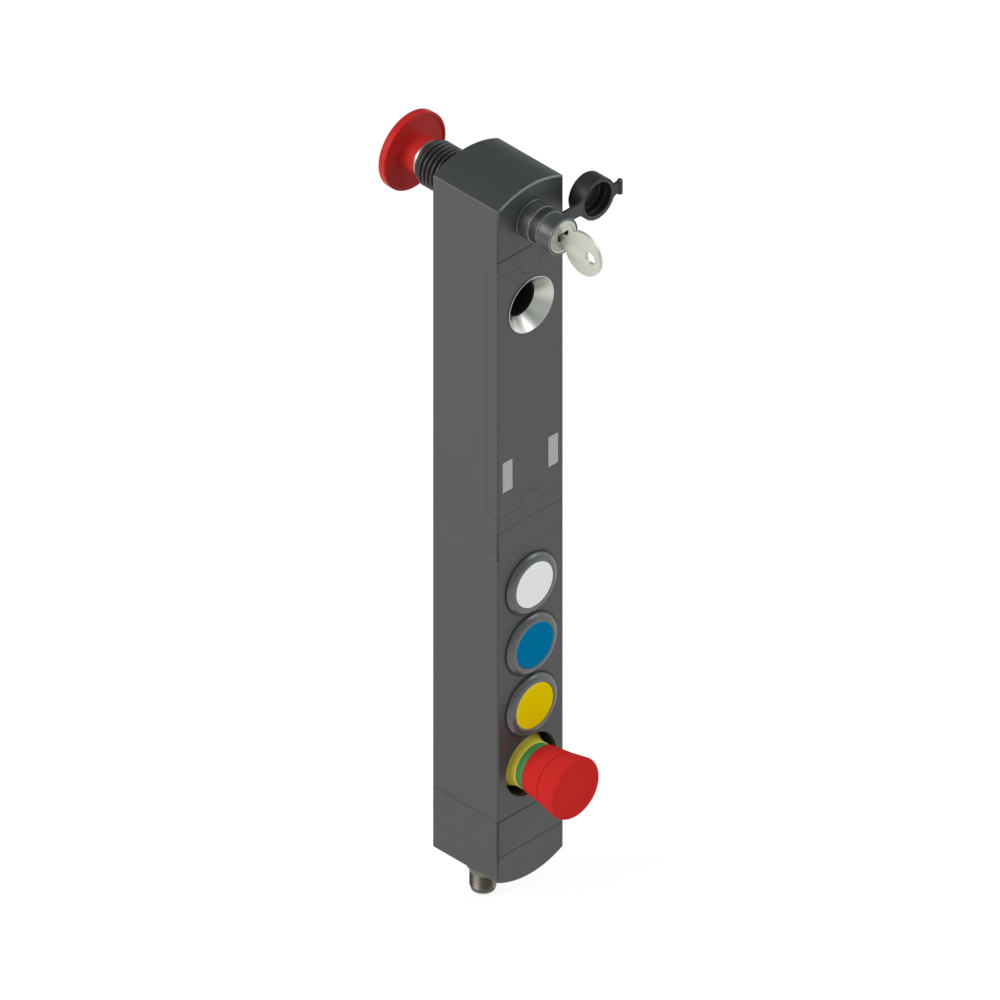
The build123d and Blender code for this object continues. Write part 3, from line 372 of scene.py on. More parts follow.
def moulded(name, colour, roughness=0.5, grain=0.35, depth=0.012, spread=0.10, edge=1.0, **shader):
    """Moulded plastic or rubber: eroded grain, cloudy tone, a painted highlight on edges and painted shade
    in seams.
    """
    made = Finish(name, **shader)
    cloud, speck = made.noise(14.0, 4.0), made.noise(0.9, 2.0)
    edge_highlight, shade_share = made.painted_light()
    shades = made.toned(cloud * 0.5 + speck * 0.3 + 0.1, colour, 1 - spread, 1 + spread)
    # Edges get a pale tone as a painted highlight, seams a near black tone as painted shade
    pale = made.mix(edge_highlight * (speck * 0.5 + 0.75) * edge, shades, edge_highlight_tone(colour))
    made.feed(base_color=made.mix(shade_share, pale, shade(colour, 0.12)))
    made.roughen(roughness, (cloud, 0.16), (speck, 0.10))
    fine = made.noise(grain, 3.0, rough=0.6)
    made.bump(fine + made.noise(grain * 4, 2.0) * 0.5, depth)
    return made.material


def release_plastic(name, colour, centre):
    """Glossy moulded disc whose sunk front face, between the hub and the lip, carries painted shade from the
    column in front of it.
    """
    made = Finish(name, specular_ior_level=0.07)
    hub, lip, front_end = 9.1, 17.3, DISC_FRONT * MM + 1.2 * MM
    x, y, z = made.axes(made.moved(centre))
    radius = (x * x + z * z).to("SQRT")
    # Mask of the sunk front face, which is painted darker as the shadow of the column
    shaded_face = ((radius - hub * MM) / (0.5 * MM)).limited() * ((lip * MM - radius) / (0.4 * MM)).limited()
    front = ((front_end - y) / (0.3 * MM)).limited()
    cloud, dust = made.noise(9.0, 4.0), made.noise(0.7, 2.0)
    bright = made.toned(cloud * 0.6 + dust * 0.3, colour, 0.95, 1.05)
    made.feed(base_color=made.mix(shaded_face * front, bright, made.toned(cloud, colour, 0.82, 0.94)))
    made.roughen(0.36, (dust, 0.08), (cloud, 0.08))
    made.bump(dust, 0.004)
    return made.material


def turned_metal(name, colour, roughness, centre, axis="Y", pitch=0.16, depth=0.006):
    """Metal from the lathe: fine rings round the axis, streaks and a little tarnish."""
    made = Finish(name, metallic=1.0)
    x, y, z = made.axes(made.moved(centre))
    across, along = (z, y) if axis == "Y" else (y, z)
    radius = (x * x + across * across).to("SQRT")
    turn = across.to("ARCTAN2", x)
    lean = 0.83
    ring = (radius + along * lean).ridges(pitch)
    uneven, haze = made.noise(0.6, 3.0), made.noise(6.0, 4.0)
    streak = (turn * 9.0 + made.noise(3.0, 2.0) * 4.0).to("SINE") * 0.5 + 0.5
    tone = haze * 0.6 + streak * 0.25 + uneven * 0.15
    made.feed(base_color=made.toned(tone, colour, 0.86, 1.08))
    made.roughen(roughness, (uneven, 0.12), (haze, 0.10))
    made.bump(ring * 0.7 + uneven * 0.3, depth)
    return made.material


def lathe_black(name, colour, centre):
    """Dark coated metal with the fine rings of the lathe round a front to back axis, and a pale tone painted
    on tight rims as their highlight.
    """
    made = Finish(name, specular_ior_level=0.6)
    ring = made.axes(made.moved(centre))[1].ridges(0.62)
    haze, dust = made.noise(5.0, 4.0), made.noise(0.7, 3.0)
    shades = made.toned(haze * 0.5 + ring * 0.25 + dust * 0.25, colour, 0.84, 1.14)
    # Tight rims get a pale tone as a painted highlight
    made.feed(base_color=made.mix(made.painted_light()[0], shades, edge_highlight_tone(colour)))
    made.roughen(0.36, (dust, 0.12), (haze, 0.10))
    made.bump(ring * 0.8 + dust * 0.2, 0.012)
    return made.material


def plain_metal(name, colour, roughness, stretch=(1.0, 1.0, 1.0), metallic=1.0):
    """Rolled or plated metal, with fine lines along one way and dull patches."""
    made = Finish(name, metallic=metallic)
    line = made.noise(0.5, 3.0, made.moved((0, 0, 0), stretch))
    patch = made.noise(4.0, 4.0)
    made.feed(base_color=made.toned(patch * 0.6 + line * 0.4, colour, 0.88, 1.08))
    made.roughen(roughness, (patch, 0.16), (line, 0.12))
    made.bump(line, 0.008)
    return made.material


def ribbed_plastic(name, colour, centre, pitch, depth):
    """Moulded plastic with the fine ribs of its turned mould, round a front to back axis."""
    made = Finish(name)
    rib = made.axes(made.moved(centre))[1].ridges(pitch)
    cloud, dust = made.noise(5.0, 4.0), made.noise(0.8, 3.0)
    tone = cloud * 0.5 + rib * 0.25 + dust * 0.25
    made.feed(base_color=made.toned(tone, colour, 0.80, 1.12))
    made.roughen(0.45, (dust, 0.2))
    made.bump(rib * 0.8 + dust * 0.2, depth)
    return made.material


def light_plastic(name, colour, roughness=0.34, scatter=0.12):
    """Satin translucent plastic of a lens or a light window, with a lighter tone painted on its rim as a
    highlight.
    """
    made = Finish(
        name, subsurface_weight=scatter, subsurface_scale=0.8 * MM, specular_ior_level=0.0
    )
    cloud, fleck = made.noise(7.0, 3.0), made.noise(0.35, 2.0)
    shades = made.toned(cloud * 0.55 + fleck * 0.45, colour, 0.94, 1.05)
    # Rims get a lighter tone as a painted highlight
    made.feed(base_color=made.mix(made.painted_light()[0], shades, shade(colour, 1.6)))
    made.roughen(roughness, (fleck, 0.14))
    made.bump(fleck * 0.6 + cloud * 0.4, 0.006)
    return made.material


def wound_copper(name):
    """Enamelled wire in close turns round an upright coil."""
    made = Finish(name, metallic=0.85, coat_weight=0.5, coat_roughness=0.2)
    turn = made.axes(made.place)[2].ridges(0.42)
    cloud = made.noise(3.0, 3.0)
    tone = turn * 0.7 + cloud * 0.3
    made.feed(base_color=made.mix(tone, (0.25, 0.07, 0.02), (0.72, 0.30, 0.12)))
    made.feed(roughness=cloud * 0.2 + 0.28)
    made.bump(turn, 0.09)
    return made.material


def printed_board(name):
    """Solder mask with tracks under it on a fine grid."""
    made = Finish(name, coat_weight=0.3)
    pad_pitch = 2.54 * MM
    rows = made.axes(made.place)[2] * (1.0 / pad_pitch) + made.noise(11.0, 1.0) * 1.2
    line = (rows.to("FRACT").to("PINGPONG", 0.5) * 14.0 - 5.4).limited()
    cloud = made.noise(2.0, 3.0)
    tone = line * 0.8 + cloud * 0.2
    made.feed(base_color=made.mix(tone, (0.012, 0.10, 0.035), (0.03, 0.21, 0.08)))
    made.feed(roughness=cloud * 0.2 + 0.28)
    made.bump(line, 0.04)
    return made.material


def finish(slot):
    """The material of one of the record's slots, made the first time that it is asked for."""
    colours = bpy.context.scene.switch_colours
    if slot in bpy.data.materials and bpy.data.materials[slot].get("switch_finish"):
        return bpy.data.materials[slot]
    lock = (0.0, 0.0, LOCK_Z)
    stop = (0.0, 0.0, STOP_Z)
    funnel = node_middle("funnel_ring")
    plug = (0.0, PLUG_Y, 0.0)
    recipes = {
        "housing": lambda: moulded(slot, colours.housing, 0.42, 0.42, 0.010, 0.05),
        "bezel": lambda: moulded(slot, colours.bezel, 0.27, 0.8, 0.002, 0.05, specular_ior_level=0.8),
        "black_plastic": lambda: moulded(slot, (0.005, 0.005, 0.006), 0.6, 0.4, 0.012, 0.15, edge=0.0),
        "black_rubber": lambda: moulded(slot, colours.bellows, 0.42, 0.5, 0.010, 0.16),
        "cap_rubber": lambda: moulded(slot, colours.cap, 0.5, 0.5, 0.012, 0.14),
        "steel": lambda: plain_metal(slot, (0.58, 0.58, 0.56), 0.34),
        "funnel_metal": lambda: turned_metal(slot, (0.58, 0.57, 0.53), 0.30, funnel, pitch=0.22),
        "lock_body": lambda: lathe_black(slot, colours.lock, lock),
        "lock_metal": lambda: turned_metal(slot, (0.55, 0.55, 0.50), 0.34, lock, depth=0.004),
        "dark_metal": lambda: plain_metal(slot, (0.04, 0.04, 0.04), 0.5),
        "washer_metal": lambda: turned_metal(slot, (0.52, 0.52, 0.49), 0.4, lock, pitch=0.3),
        "plug_metal": lambda: turned_metal(slot, colours.key, 0.36, lock, depth=0.008),
        "key_metal": lambda: plain_metal(slot, colours.key, 0.46, (4.0, 1.0, 0.35), metallic=0.55),
        "copper": lambda: wound_copper(slot),
        "board": lambda: printed_board(slot),
        "window": lambda: light_plastic(slot, colours.window, 0.4),
        "release_red": lambda: release_plastic(slot, colours.release, (0.0, 0.0, LOCK_Z)),
        "stop_red": lambda: moulded(slot, colours.stop, 0.5, 0.45, 0.008, 0.04, 0.0, specular_ior_level=0.0),
        "stop_yellow": lambda: ribbed_plastic(slot, colours.base, stop, 0.62, 0.05),
        "stop_green": lambda: ribbed_plastic(slot, colours.band, stop, 0.62, 0.035),
        "lens_white": lambda: light_plastic(slot, colours.white),
        "lens_blue": lambda: light_plastic(slot, colours.blue, scatter=0.0),
        "lens_yellow": lambda: light_plastic(slot, colours.yellow, scatter=0.05),
        "connector_metal": lambda: turned_metal(slot, (0.19, 0.175, 0.14), 0.38, plug, "Z", depth=0.005),
        "brass_pin": lambda: plain_metal(slot, (0.80, 0.58, 0.25), 0.22),
    }
    material = recipes[slot]()
    material.name = slot
    material["switch_finish"] = True
    return material


# Meshes


def linked(name, data):
    """Object of a mesh, light, curve or camera, linked into the scene."""
    made = bpy.data.objects.new(name, data)
    bpy.context.scene.collection.objects.link(made)
    return made


def piece(name, mesh, body, slot, replaced=(), sharp=38.0, look=None):
    """Object of a finished mesh in metres, which rides on a body and may stand for nodes."""
    made = linked(name, mesh)
    mesh.materials.clear()
    mesh.materials.append(finish(look or slot))
    if sharp:
        mesh.shade_smooth()
        mesh.set_sharp_from_angle(angle=math.radians(sharp))
    if body:
        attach(made, body)
    if replaced:
        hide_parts(*replaced)
    return made


def mesh_of(name, shape):
    """Mesh of a bmesh, which is freed."""
    mesh = bpy.data.meshes.new(name)
    shape.to_mesh(mesh)
    shape.free()
    return mesh


def shape_of(*meshes):
    """Bmesh of one or more meshes, which are removed. Each stays a shell of its own."""
    shape = bmesh.new()
    for mesh in meshes:
        shape.from_mesh(mesh)
        bpy.data.meshes.remove(mesh)
    return shape


def joined(name, meshes):
    return mesh_of(name, shape_of(*meshes))


def closed_mesh(name, shape):
    """Mesh of a bmesh whose doubles are merged and whose faces point outwards."""
    bmesh.ops.remove_doubles(shape, verts=shape.verts, dist=SAME_POINT)
    bmesh.ops.recalc_face_normals(shape, faces=shape.faces)
    return mesh_of(name, shape)


def rounded(corners, steps=5):
    """Closed outline of (radius, level, rounding) corners, with each corner rounded off."""
    outline = []
    count = len(corners)
    most = 0.49
    for n in range(count):
        corner = Vector(corners[n][:2])
        rounding = corners[n][2] if len(corners[n]) > 2 else 0.0
        before = Vector(corners[n - 1][:2]) - corner
        after = Vector(corners[(n + 1) % count][:2]) - corner
        if rounding <= 0 or before.length < 1e-9 or after.length < 1e-9:
            outline.append(tuple(corner))
            continue
        half = before.angle(after) / 2
        run = min(rounding / math.tan(half), before.length * most, after.length * most)
        start = corner + before.normalized() * run
        end = corner + after.normalized() * run
        for k in range(steps + 1):
            t = k / steps
            point = start * (1 - t) ** 2 + corner * 2 * t * (1 - t) + end * t**2
            outline.append(tuple(point))
    return outline


def arc(centre, radius, start, end, steps=12):
    """Points on a circle between two angles in degrees, in the (radius, level) plane."""
    points = []
    for k in range(steps + 1):
        angle = math.radians(start + (end - start) * k / steps)
        points.append((centre[0] + radius * math.cos(angle), centre[1] + radius * math.sin(angle)))
    return points


def arc_through(start, middle, end, steps=14):
    """Points on the circle through three points, from the first to the last."""
    a, b, c = (Vector(point) for point in (start, middle, end))
    across, along = b - a, c - a
    double = 2 * (across.x * along.y - across.y * along.x)
    first, second = across.length_squared, along.length_squared
    offset = Vector((along.y * first - across.y * second, across.x * second - along.x * first)) / double
    centre = a + offset
    turns = [math.degrees(math.atan2(point.y - centre.y, point.x - centre.x)) for point in (a, b, c)]
    whole = (turns[2] - turns[0]) % 360
    if (turns[1] - turns[0]) % 360 > whole:
        whole -= 360
    return arc(centre, offset.length, turns[0], turns[0] + whole, steps)


def tight_corner_highlight(outline):
    """Share of painted edge highlight from 0 to 1 at each point of a closed outline: high where a corner is
    tightly rounded.
    """
    points = [Vector(point) for point in outline]
    count = len(points)
    area = sum(a.x * b.y - b.x * a.y for a, b in zip(points, points[1:] + points[:1]))
    longest_step, least_bend = 0.5, 0.6
    shares = []
    for n, point in enumerate(points):
        before, after = point - points[n - 1], points[(n + 1) % count] - point
        shorter, longer = sorted((before.length, after.length))
        if shorter < 1e-6 or longer > longest_step:
            shares.append(0.0)
            continue
        bend = before.angle_signed(after) * (-1 if area > 0 else 1)
        shares.append(min(1.0, max(0.0, bend / (shorter + longer) - least_bend)))
    return shares


def turned(name, outline, axis, centre, segments=None):
    """Solid of revolution of a closed (radius, level) outline, round an axis through a centre."""
    segments = segments or bpy.context.scene.switch_sizes.segments
    shape = bmesh.new()
    # Each point carries the share of painted highlight of its corner
    painted_light = shape.verts.layers.float.new("painted_light")
    rings = []
    for (radius, level), highlight_share in zip(outline, tight_corner_highlight(outline)):
        ring = []
        for n in range(1 if radius < 1e-6 else segments):
            angle = 2 * math.pi * n / segments
            across, up = radius * math.cos(angle), radius * math.sin(angle)
            if axis == "Y":
                place = (centre[0] + across, level, centre[1] + up)
            else:
                place = (centre[0] + across, centre[1] + up, level)
            point = shape.verts.new(Vector(place) * MM)
            point[painted_light] = highlight_share
            ring.append(point)
        rings.append(ring)
    for n, ring in enumerate(rings):
        other = rings[(n + 1) % len(rings)]
        for k in range(segments):
            m = (k + 1) % segments
            corners = [ring[k % len(ring)], ring[m % len(ring)]]
            corners += [other[m % len(other)], other[k % len(other)]]
            corners = list(dict.fromkeys(corners))
            if len(corners) > 2:
                shape.faces.new(corners)
    return closed_mesh(name, shape)


def lathed(name, corners, centre, body, slot, node=None, axis="Y", look=None):
    """Piece that is turned from an outline of corners and may stand for a node."""
    mesh = turned(name, rounded(corners), axis, centre)
    return piece(name, mesh, body, slot, [node] if node else (), look=look)


def dressed(data, *modifiers):
    """Mesh of a throwaway object after its modifiers, given as (kind, settings)."""
    host = linked("host", data)
    for kind, settings in modifiers:
        modifier = host.modifiers.new(kind, kind)
        for name, setting in settings.items():
            setattr(modifier, name, setting)
    graph = bpy.context.evaluated_depsgraph_get()
    mesh = bpy.data.meshes.new_from_object(host.evaluated_get(graph))
    bpy.data.objects.remove(host)
    return mesh


def face_widths(mesh):
    """Width of the widest face round each point, as the face's area by its rim."""
    widths = [0.0] * len(mesh.vertices)
    for face in mesh.polygons:
        corners = [mesh.vertices[n].co for n in face.vertices]
        rim = sum((a - b).length for a, b in zip(corners, corners[1:] + corners[:1]))
        for n in face.vertices:
            widths[n] = max(widths[n], face.area / rim)
    return widths


def softened(name, shape, bevel, weigh=None, edge_highlight=None, seam_shade=None):
    """Mesh of a bmesh with rounded edges. weigh gives an edge's share of the bevel, and the last two
    functions give a point's painted highlight on bevels and its painted shade in seams."""
    weight = shape.edges.layers.float.new("bevel_weight_edge")
    for edge in shape.edges:
        middle = (edge.verts[0].co + edge.verts[1].co) / 2 / MM
        if len(edge.link_faces) == 2 and edge.calc_face_angle(0) > SHARP_EDGE:
            edge[weight] = weigh(middle) if weigh else 1.0
            edge.smooth = edge[weight] > 0
    for face in shape.faces:
        face.smooth = True
    bevelled = {"limit_method": "WEIGHT", "width": bevel, "segments": 3}
    normals = {"keep_sharp": True, "mode": "FACE_AREA", "weight": 90}
    mesh = dressed(mesh_of(name, shape), ("BEVEL", bevelled), ("WEIGHTED_NORMAL", normals))
    painted_light = mesh.attributes.new("painted_light", "FLOAT", "POINT")
    # Thin faces at a seam get painted shade; other bevel faces get a painted highlight
    for n, width in enumerate(face_widths(mesh)):
        middle = mesh.vertices[n].co / MM
        shade_share = seam_shade(middle) if seam_shade and width < SEAM_WIDTH else 0.0
        if shade_share:
            painted_light.data[n].value = -shade_share
        elif width < bevel * BEVEL_FACE:
            painted_light.data[n].value = edge_highlight(middle) if edge_highlight else EDGE_HIGHLIGHT
    return mesh


def node_shape(node):
    """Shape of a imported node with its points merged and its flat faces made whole."""
    shape = bmesh.new()
    shape.from_mesh(frame["nodes"][node].data)
    bmesh.ops.remove_doubles(shape, verts=shape.verts, dist=NEAR_POINT)
    bmesh.ops.dissolve_limit(shape, angle_limit=FLAT_ANGLE, verts=shape.verts, edges=shape.edges)
    return shape


def bored_shape(node, outline, centre):
    """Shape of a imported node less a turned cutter, for a bore that a finer piece needs wider."""
    cutter = linked("cutter", turned("hole", outline, "Y", centre))
    solid = mesh_of(node, node_shape(node))
    cut = {"operation": "DIFFERENCE", "solver": "EXACT", "object": cutter}
    mesh = dressed(solid, ("BOOLEAN", cut))
    bpy.data.objects.remove(cutter)
    shape = shape_of(mesh)
    bmesh.ops.remove_doubles(shape, verts=shape.verts, dist=NEAR_POINT)
    return shape


def flat_plate(name, outlines, thickness, edge, place):
    """Plate of a flat outline with holes, its edges rounded, put in place by a matrix."""
    curve = bpy.data.curves.new(name, "CURVE")
    curve.dimensions = "2D"
    curve.fill_mode = "BOTH"
    curve.extrude = (thickness / 2 - edge) * MM
    curve.bevel_depth = edge * MM
    curve.bevel_resolution = 2
    curve.offset = -edge * MM
    for outline in outlines:
        spline = curve.splines.new("POLY")
        spline.points.add(len(outline) - 1)
        for point, (a, b) in zip(spline.points, outline):
            point.co = (a * MM, b * MM, 0.0, 1.0)
        spline.use_cyclic_u = True
    mesh = dressed(curve)
    bpy.data.curves.remove(curve)
    mesh.transform(place)
    return closed_mesh(name, shape_of(mesh))


def circle(x, y, radius, steps=72):
    return arc((x, y), radius, 0, 360 - 360 / steps, steps - 1)


# Geometry node rules


class Rule(Nodes):
    """A geometry node tree with named sizes, which ends in real geometry with a material."""

    def __init__(self, name, sizes):
        super().__init__(bpy.data.node_groups.new(name, "GeometryNodeTree"))
        face = self.tree.interface
        face.new_socket("Geometry", in_out="OUTPUT", socket_type="NodeSocketGeometry")
        for size, start in sizes.items():
            kind = "NodeSocketInt" if isinstance(start, int) else "NodeSocketFloat"
            face.new_socket(size, in_out="INPUT", socket_type=kind)
        self.sizes = sizes
        self.given = self.node("NodeGroupInput")

    def values(self):
        """The tree's sizes, in their order."""
        return [Value(self, self.given.outputs[name]) for name in self.sizes]

    def surface(self, around, along):
        """Grid whose two ways run from 0 to 1, and the way round and the way along it."""
        inputs = {"Size X": 1.0, "Size Y": 1.0, "Vertices X": around, "Vertices Y": along}
        grid = self.node("GeometryNodeMeshGrid", None, inputs)
        x, y, _ = self.axes(self.node("GeometryNodeInputPosition").outputs[0])
        return grid.outputs["Mesh"], x + 0.5, y + 0.5

    def circled(self, turn, radius, level):
        """Both coordinates on a circle round a centre that lies at a level in millimetres."""
        angle = turn * (2 * math.pi)
        return radius * angle.to("COSINE"), radius * angle.to("SINE") + level * MM

    def place(self, mesh, x, y, z):
        spot = self.node("ShaderNodeCombineXYZ", None, {0: x, 1: y, 2: z}).outputs[0]
        moved = self.node("GeometryNodeSetPosition", None, {"Geometry": mesh, "Position": spot})
        return moved.outputs[0]

    def done(self, geometry, slot):
        """Ends the tree and returns its mesh at the rule's own sizes."""
        real = self.node("GeometryNodeRealizeInstances", None, {0: geometry}).outputs[0]
        inputs = {"Geometry": real, "Material": finish(slot)}
        coated = self.node("GeometryNodeSetMaterial", None, inputs).outputs[0]
        self.node("NodeGroupOutput", None, {0: coated})
        host = linked("host", bpy.data.meshes.new("host"))
        modifier = host.modifiers.new(self.tree.name, "NODES")
        modifier.node_group = self.tree
        for item in self.tree.interface.items_tree:
            if item.in_out == "INPUT":
                modifier[item.identifier] = self.sizes[item.name]
        graph = bpy.context.evaluated_depsgraph_get()
        mesh = bpy.data.meshes.new_from_object(host.evaluated_get(graph))
        host.modifiers.remove(modifier)
        bpy.data.objects.remove(host)
        return mesh


def shelled(name, mesh, thickness):
    """Closed shell that reaches inwards from a surface by a thickness in millimetres."""
    shape = shape_of(mesh)
    bmesh.ops.remove_doubles(shape, verts=shape.verts, dist=GRID_SEAM)
    wall = {"thickness": thickness * MM, "offset": -1.0, "use_even_offset": False}
    return closed_mesh(name, shape_of(dressed(mesh_of(name, shape), ("SOLIDIFY", wall))))


# Pieces


class SwitchOperator:
    """What all the operators share."""

    bl_options = {"REGISTER", "UNDO"}


def tight_seam(middle):
    """True for an edge of a screw cover's seat or of the cover's lower end, whose seams are tight."""
    screw, seat_radius, seat_end = 64.0, 7.2, 63.2
    level = abs(abs(middle.z) - screw)
    if math.hypot(middle.x, level) < seat_radius and abs(middle.z) > seat_end:
        return True
    return -63.8 < middle.z < -62.9


def seam_shade(middle):
    """Share of painted shade at a point on the rounded edges where one module of the column meets the next,
    standing in for the seam's shadow line.
    """
    return max((share for level, share in SEAM_SHADES.items() if abs(middle.z - level) < 0.4), default=0.0)


def crown_edge(middle):
    """True for the curved edges at the front and back of the head's crown."""
    return middle.z > HEAD_CORNER + 0.3


def crown_highlight(middle):
    """Share of painted highlight on the head's edges: the curved front and back ones stand out."""
    along = min(abs(middle.y - FRONT), abs(middle.y))
    return 0.9 if along < 0.5 and crown_edge(middle) else 0.1


def housing_weight(middle):
    return 0.0 if tight_seam(middle) else 1.0


class SWITCH_OT_housings(SwitchOperator, bpy.types.Operator):
    """Rounds the edges of the column's modules and its front cover"""

    bl_idname = "switch.housings"
    bl_label = "Housings"

    def execute(self, context):
        sizes = context.scene.switch_sizes
        edge, crown = sizes.edge_bevel, sizes.crown_bevel
        rules = {
            "head_housing": (crown, lambda middle: 1.0 if crown_edge(middle) else edge / crown, crown_highlight),
            "body_housing": (edge, housing_weight, None),
            "front_cover": (edge, housing_weight, None),
            "upper_adapter": (edge, None, None),
            "button_housing": (edge, None, None),
            "lower_adapter": (edge, None, None),
            "end_cap": (edge, None, None),
        }
        over = FRONT - 1
        bores = {}
        for node, radius, floor, z in (
            ("button_housing", 15.3, FRONT + 2.1, STOP_Z),
            ("front_cover", 13.1, FRONT + 1.2, node_middle("funnel_ring").z),
        ):
            bores[node] = ([(0, over), (radius, over), (radius, floor), (0, floor)], (0, z))
        for node, (bevel, weigh, edge_highlight) in rules.items():
            shape = bored_shape(node, *bores[node]) if node in bores else node_shape(node)
            # Bevels get a painted highlight and the seams painted shade
            mesh = softened(node, shape, bevel, weigh, edge_highlight, seam_shade)
            piece(f"{node}_shell", mesh, "housing", "housing", [node], sharp=None)
        return {"FINISHED"}


class SWITCH_OT_screw_covers(SwitchOperator, bpy.types.Operator):
    """Makes the two discs over the fixing screws"""

    bl_idname = "switch.screw_covers"
    bl_label = "Screw covers"

    def execute(self, context):
        low, high = node_box("screw_covers")
        radius, back, rim, hollow = (high.x - low.x) / 2, low.y + 2.6, 4.95, 3.95
        outline = [(0, low.y), (radius, low.y), (radius, back), (rim, back)]
        outline += [(rim, high.y), (hollow, high.y), (hollow, back), (0, back)]
        levels = (low.z + radius, high.z - radius)
        meshes = [turned("screw_cover", rounded(outline), "Y", (0, z)) for z in levels]
        piece("screw_cover_discs", joined("screw_covers", meshes), "housing", "housing", ["screw_covers"])
        return {"FINISHED"}


class SWITCH_OT_funnel(SwitchOperator, bpy.types.Operator):
    """Makes the turned metal funnel and the smooth mouth of the pocket behind it"""

    bl_idname = "switch.funnel"
    bl_label = "Funnel"

    def execute(self, context):
        centre = (0, node_middle("funnel_ring").z)
        face, shoulder, back = node_box("funnel_ring")[0].y, FRONT + 1.15, -33.0
        outline = [(13.3, face), (13.6, face, 0.12), (13.6, FRONT), (13.05, FRONT)]
        outline += [(13.05, shoulder), (12.4, shoulder), (12.4, back)]
        outline += [(8.65, back), (8.65, back - 0.6, 0.15)]
        lathed("funnel_guide", outline, centre, "housing", "funnel_metal", "funnel_ring")
        return {"FINISHED"}


class SWITCH_OT_windows(SwitchOperator, bpy.types.Operator):
    """Makes the two light windows with a pale tone painted on their rim as its highlight"""

    bl_idname = "switch.windows"
    bl_label = "Light windows"

    def execute(self, context):
        shape = node_shape("light_windows")
        ahead = (FRONT + 0.5) * MM
        fronts = [f for f in shape.faces if f.normal.y < -0.9 and f.calc_center_median().y < ahead]
        bmesh.ops.inset_individual(shape, faces=fronts, thickness=0.5 * MM)
        mesh = softened("light_windows", shape, 0.1 * MM)
        painted_light = mesh.attributes["painted_light"].data
        # A pale tone is painted round each window's rim as its highlight
        for side in (-1, 1):
            points = [v for v in mesh.vertices if v.co.x * side > 0]
            ends = [(min(v.co[n] for v in points), max(v.co[n] for v in points)) for n in (0, 2)]
            for v in points:
                rim = min(abs(v.co[n] - end) for n, pair in zip((0, 2), ends) for end in pair)
                painted_light[v.index].value = 0.8 if rim < 0.25 * MM else 0.0
        piece("light_window_pipes", mesh, "housing", "window", ["light_windows"], sharp=None)
        return {"FINISHED"}


class SWITCH_OT_lock(SwitchOperator, bpy.types.Operator):
    """Makes the key lock: collar, sleeve, barrel with its face, and the turning plug"""

    bl_idname = "switch.lock"
    bl_label = "Key lock"

    def execute(self, context):
        groove, ring = FRONT - COLLAR_LENGTH, FRONT - 11.4
        face = node_box("lock_sleeve")[0].y
        rim, rear = face + 0.02, face + 7.9
        back = node_box("lock_barrel")[1].y
        collar = [(7.05, FRONT), (9.2, FRONT), (9.2, FRONT - 0.55, 0.18), (8.9, FRONT - 0.75, 0.1)]
        collar += [(8.9, groove + 0.62, 0.05), (8.84, groove + 0.58, 0.05), (8.84, groove, 0.3)]
        collar += [(7.6, groove), (7.6, ring), (8.6, ring, 0.18)]
        collar += [(8.6, ring - 0.7, 0.22), (7.05, ring - 0.7)]
        sleeve = [(7.85, face + 0.34, 0.05), (8.12, face, 0.08), (8.75, face, 0.42)]
        sleeve += [(8.75, face + 0.95, 0.05), (8.7, face + 1.0, 0.05), (8.7, face + 6.6, 0.05)]
        sleeve += [(8.75, face + 6.65, 0.05), (8.75, face + 7.6, 0.25), (7.85, face + 7.6)]
        barrel = [(6.25, rim, 0.1), (7.8, rim, 0.28), (7.8, rear), (7.0, rear), (7.0, back), (6.25, back)]
        for node, corners, slot, look in (
            ("lock_collar", collar, "housing", "lock_body"),
            ("lock_sleeve", sleeve, "housing", "lock_body"),
            ("lock_barrel", barrel, "lock_metal", "plug_metal"),
        ):
            lathed(f"{node}_turned", corners, LOCK, "housing", slot, node, look=look)
        cut = [(-1.0, -6.05), (1.0, -6.05)]
        keyway = cut + [(1.0, 1.25), (-1.0, 1.25)]
        keyhole = [(-3.2, 2.2, 0.8), (-3.2, -1.5, 0.8), (-1.0, -1.5, 0.15), *cut]
        keyhole += [(1.0, -1.5, 0.15), (3.2, -1.5, 0.8), (3.2, 2.2, 0.8)]
        front, floor, high = face + 0.15, face + 1.65, node_box("lock_plug")[1].y
        turn = Matrix.Rotation(math.radians(90), 4, "X")
        place = Matrix.Translation(Vector((0, (front + floor) / 2, LOCK_Z)) * MM) @ turn
        outlines = [circle(0, 0, 6.2), rounded(keyhole)]
        plug = flat_plate("lock_plug", outlines, floor - front, 0.12, place)
        piece("lock_plug_turned", plug, "key_plug", "plug_metal", ["lock_plug"])
        shank = high - 3.6 - floor
        place = Matrix.Translation(Vector((0, floor + shank / 2, LOCK_Z)) * MM) @ turn
        core = flat_plate("lock_core", [circle(0, 0, 6.15), keyway], shank, 0.05, place)
        end = floor + shank - 2
        tail = turned("lock_tail", [(0, end), (2.7, end), (2.7, high), (0, high)], "Y", LOCK)
        core = joined("lock_core", [core, tail])
        piece("lock_plug_core", core, "key_plug", "plug_metal", look="dark_metal")
        return {"FINISHED"}


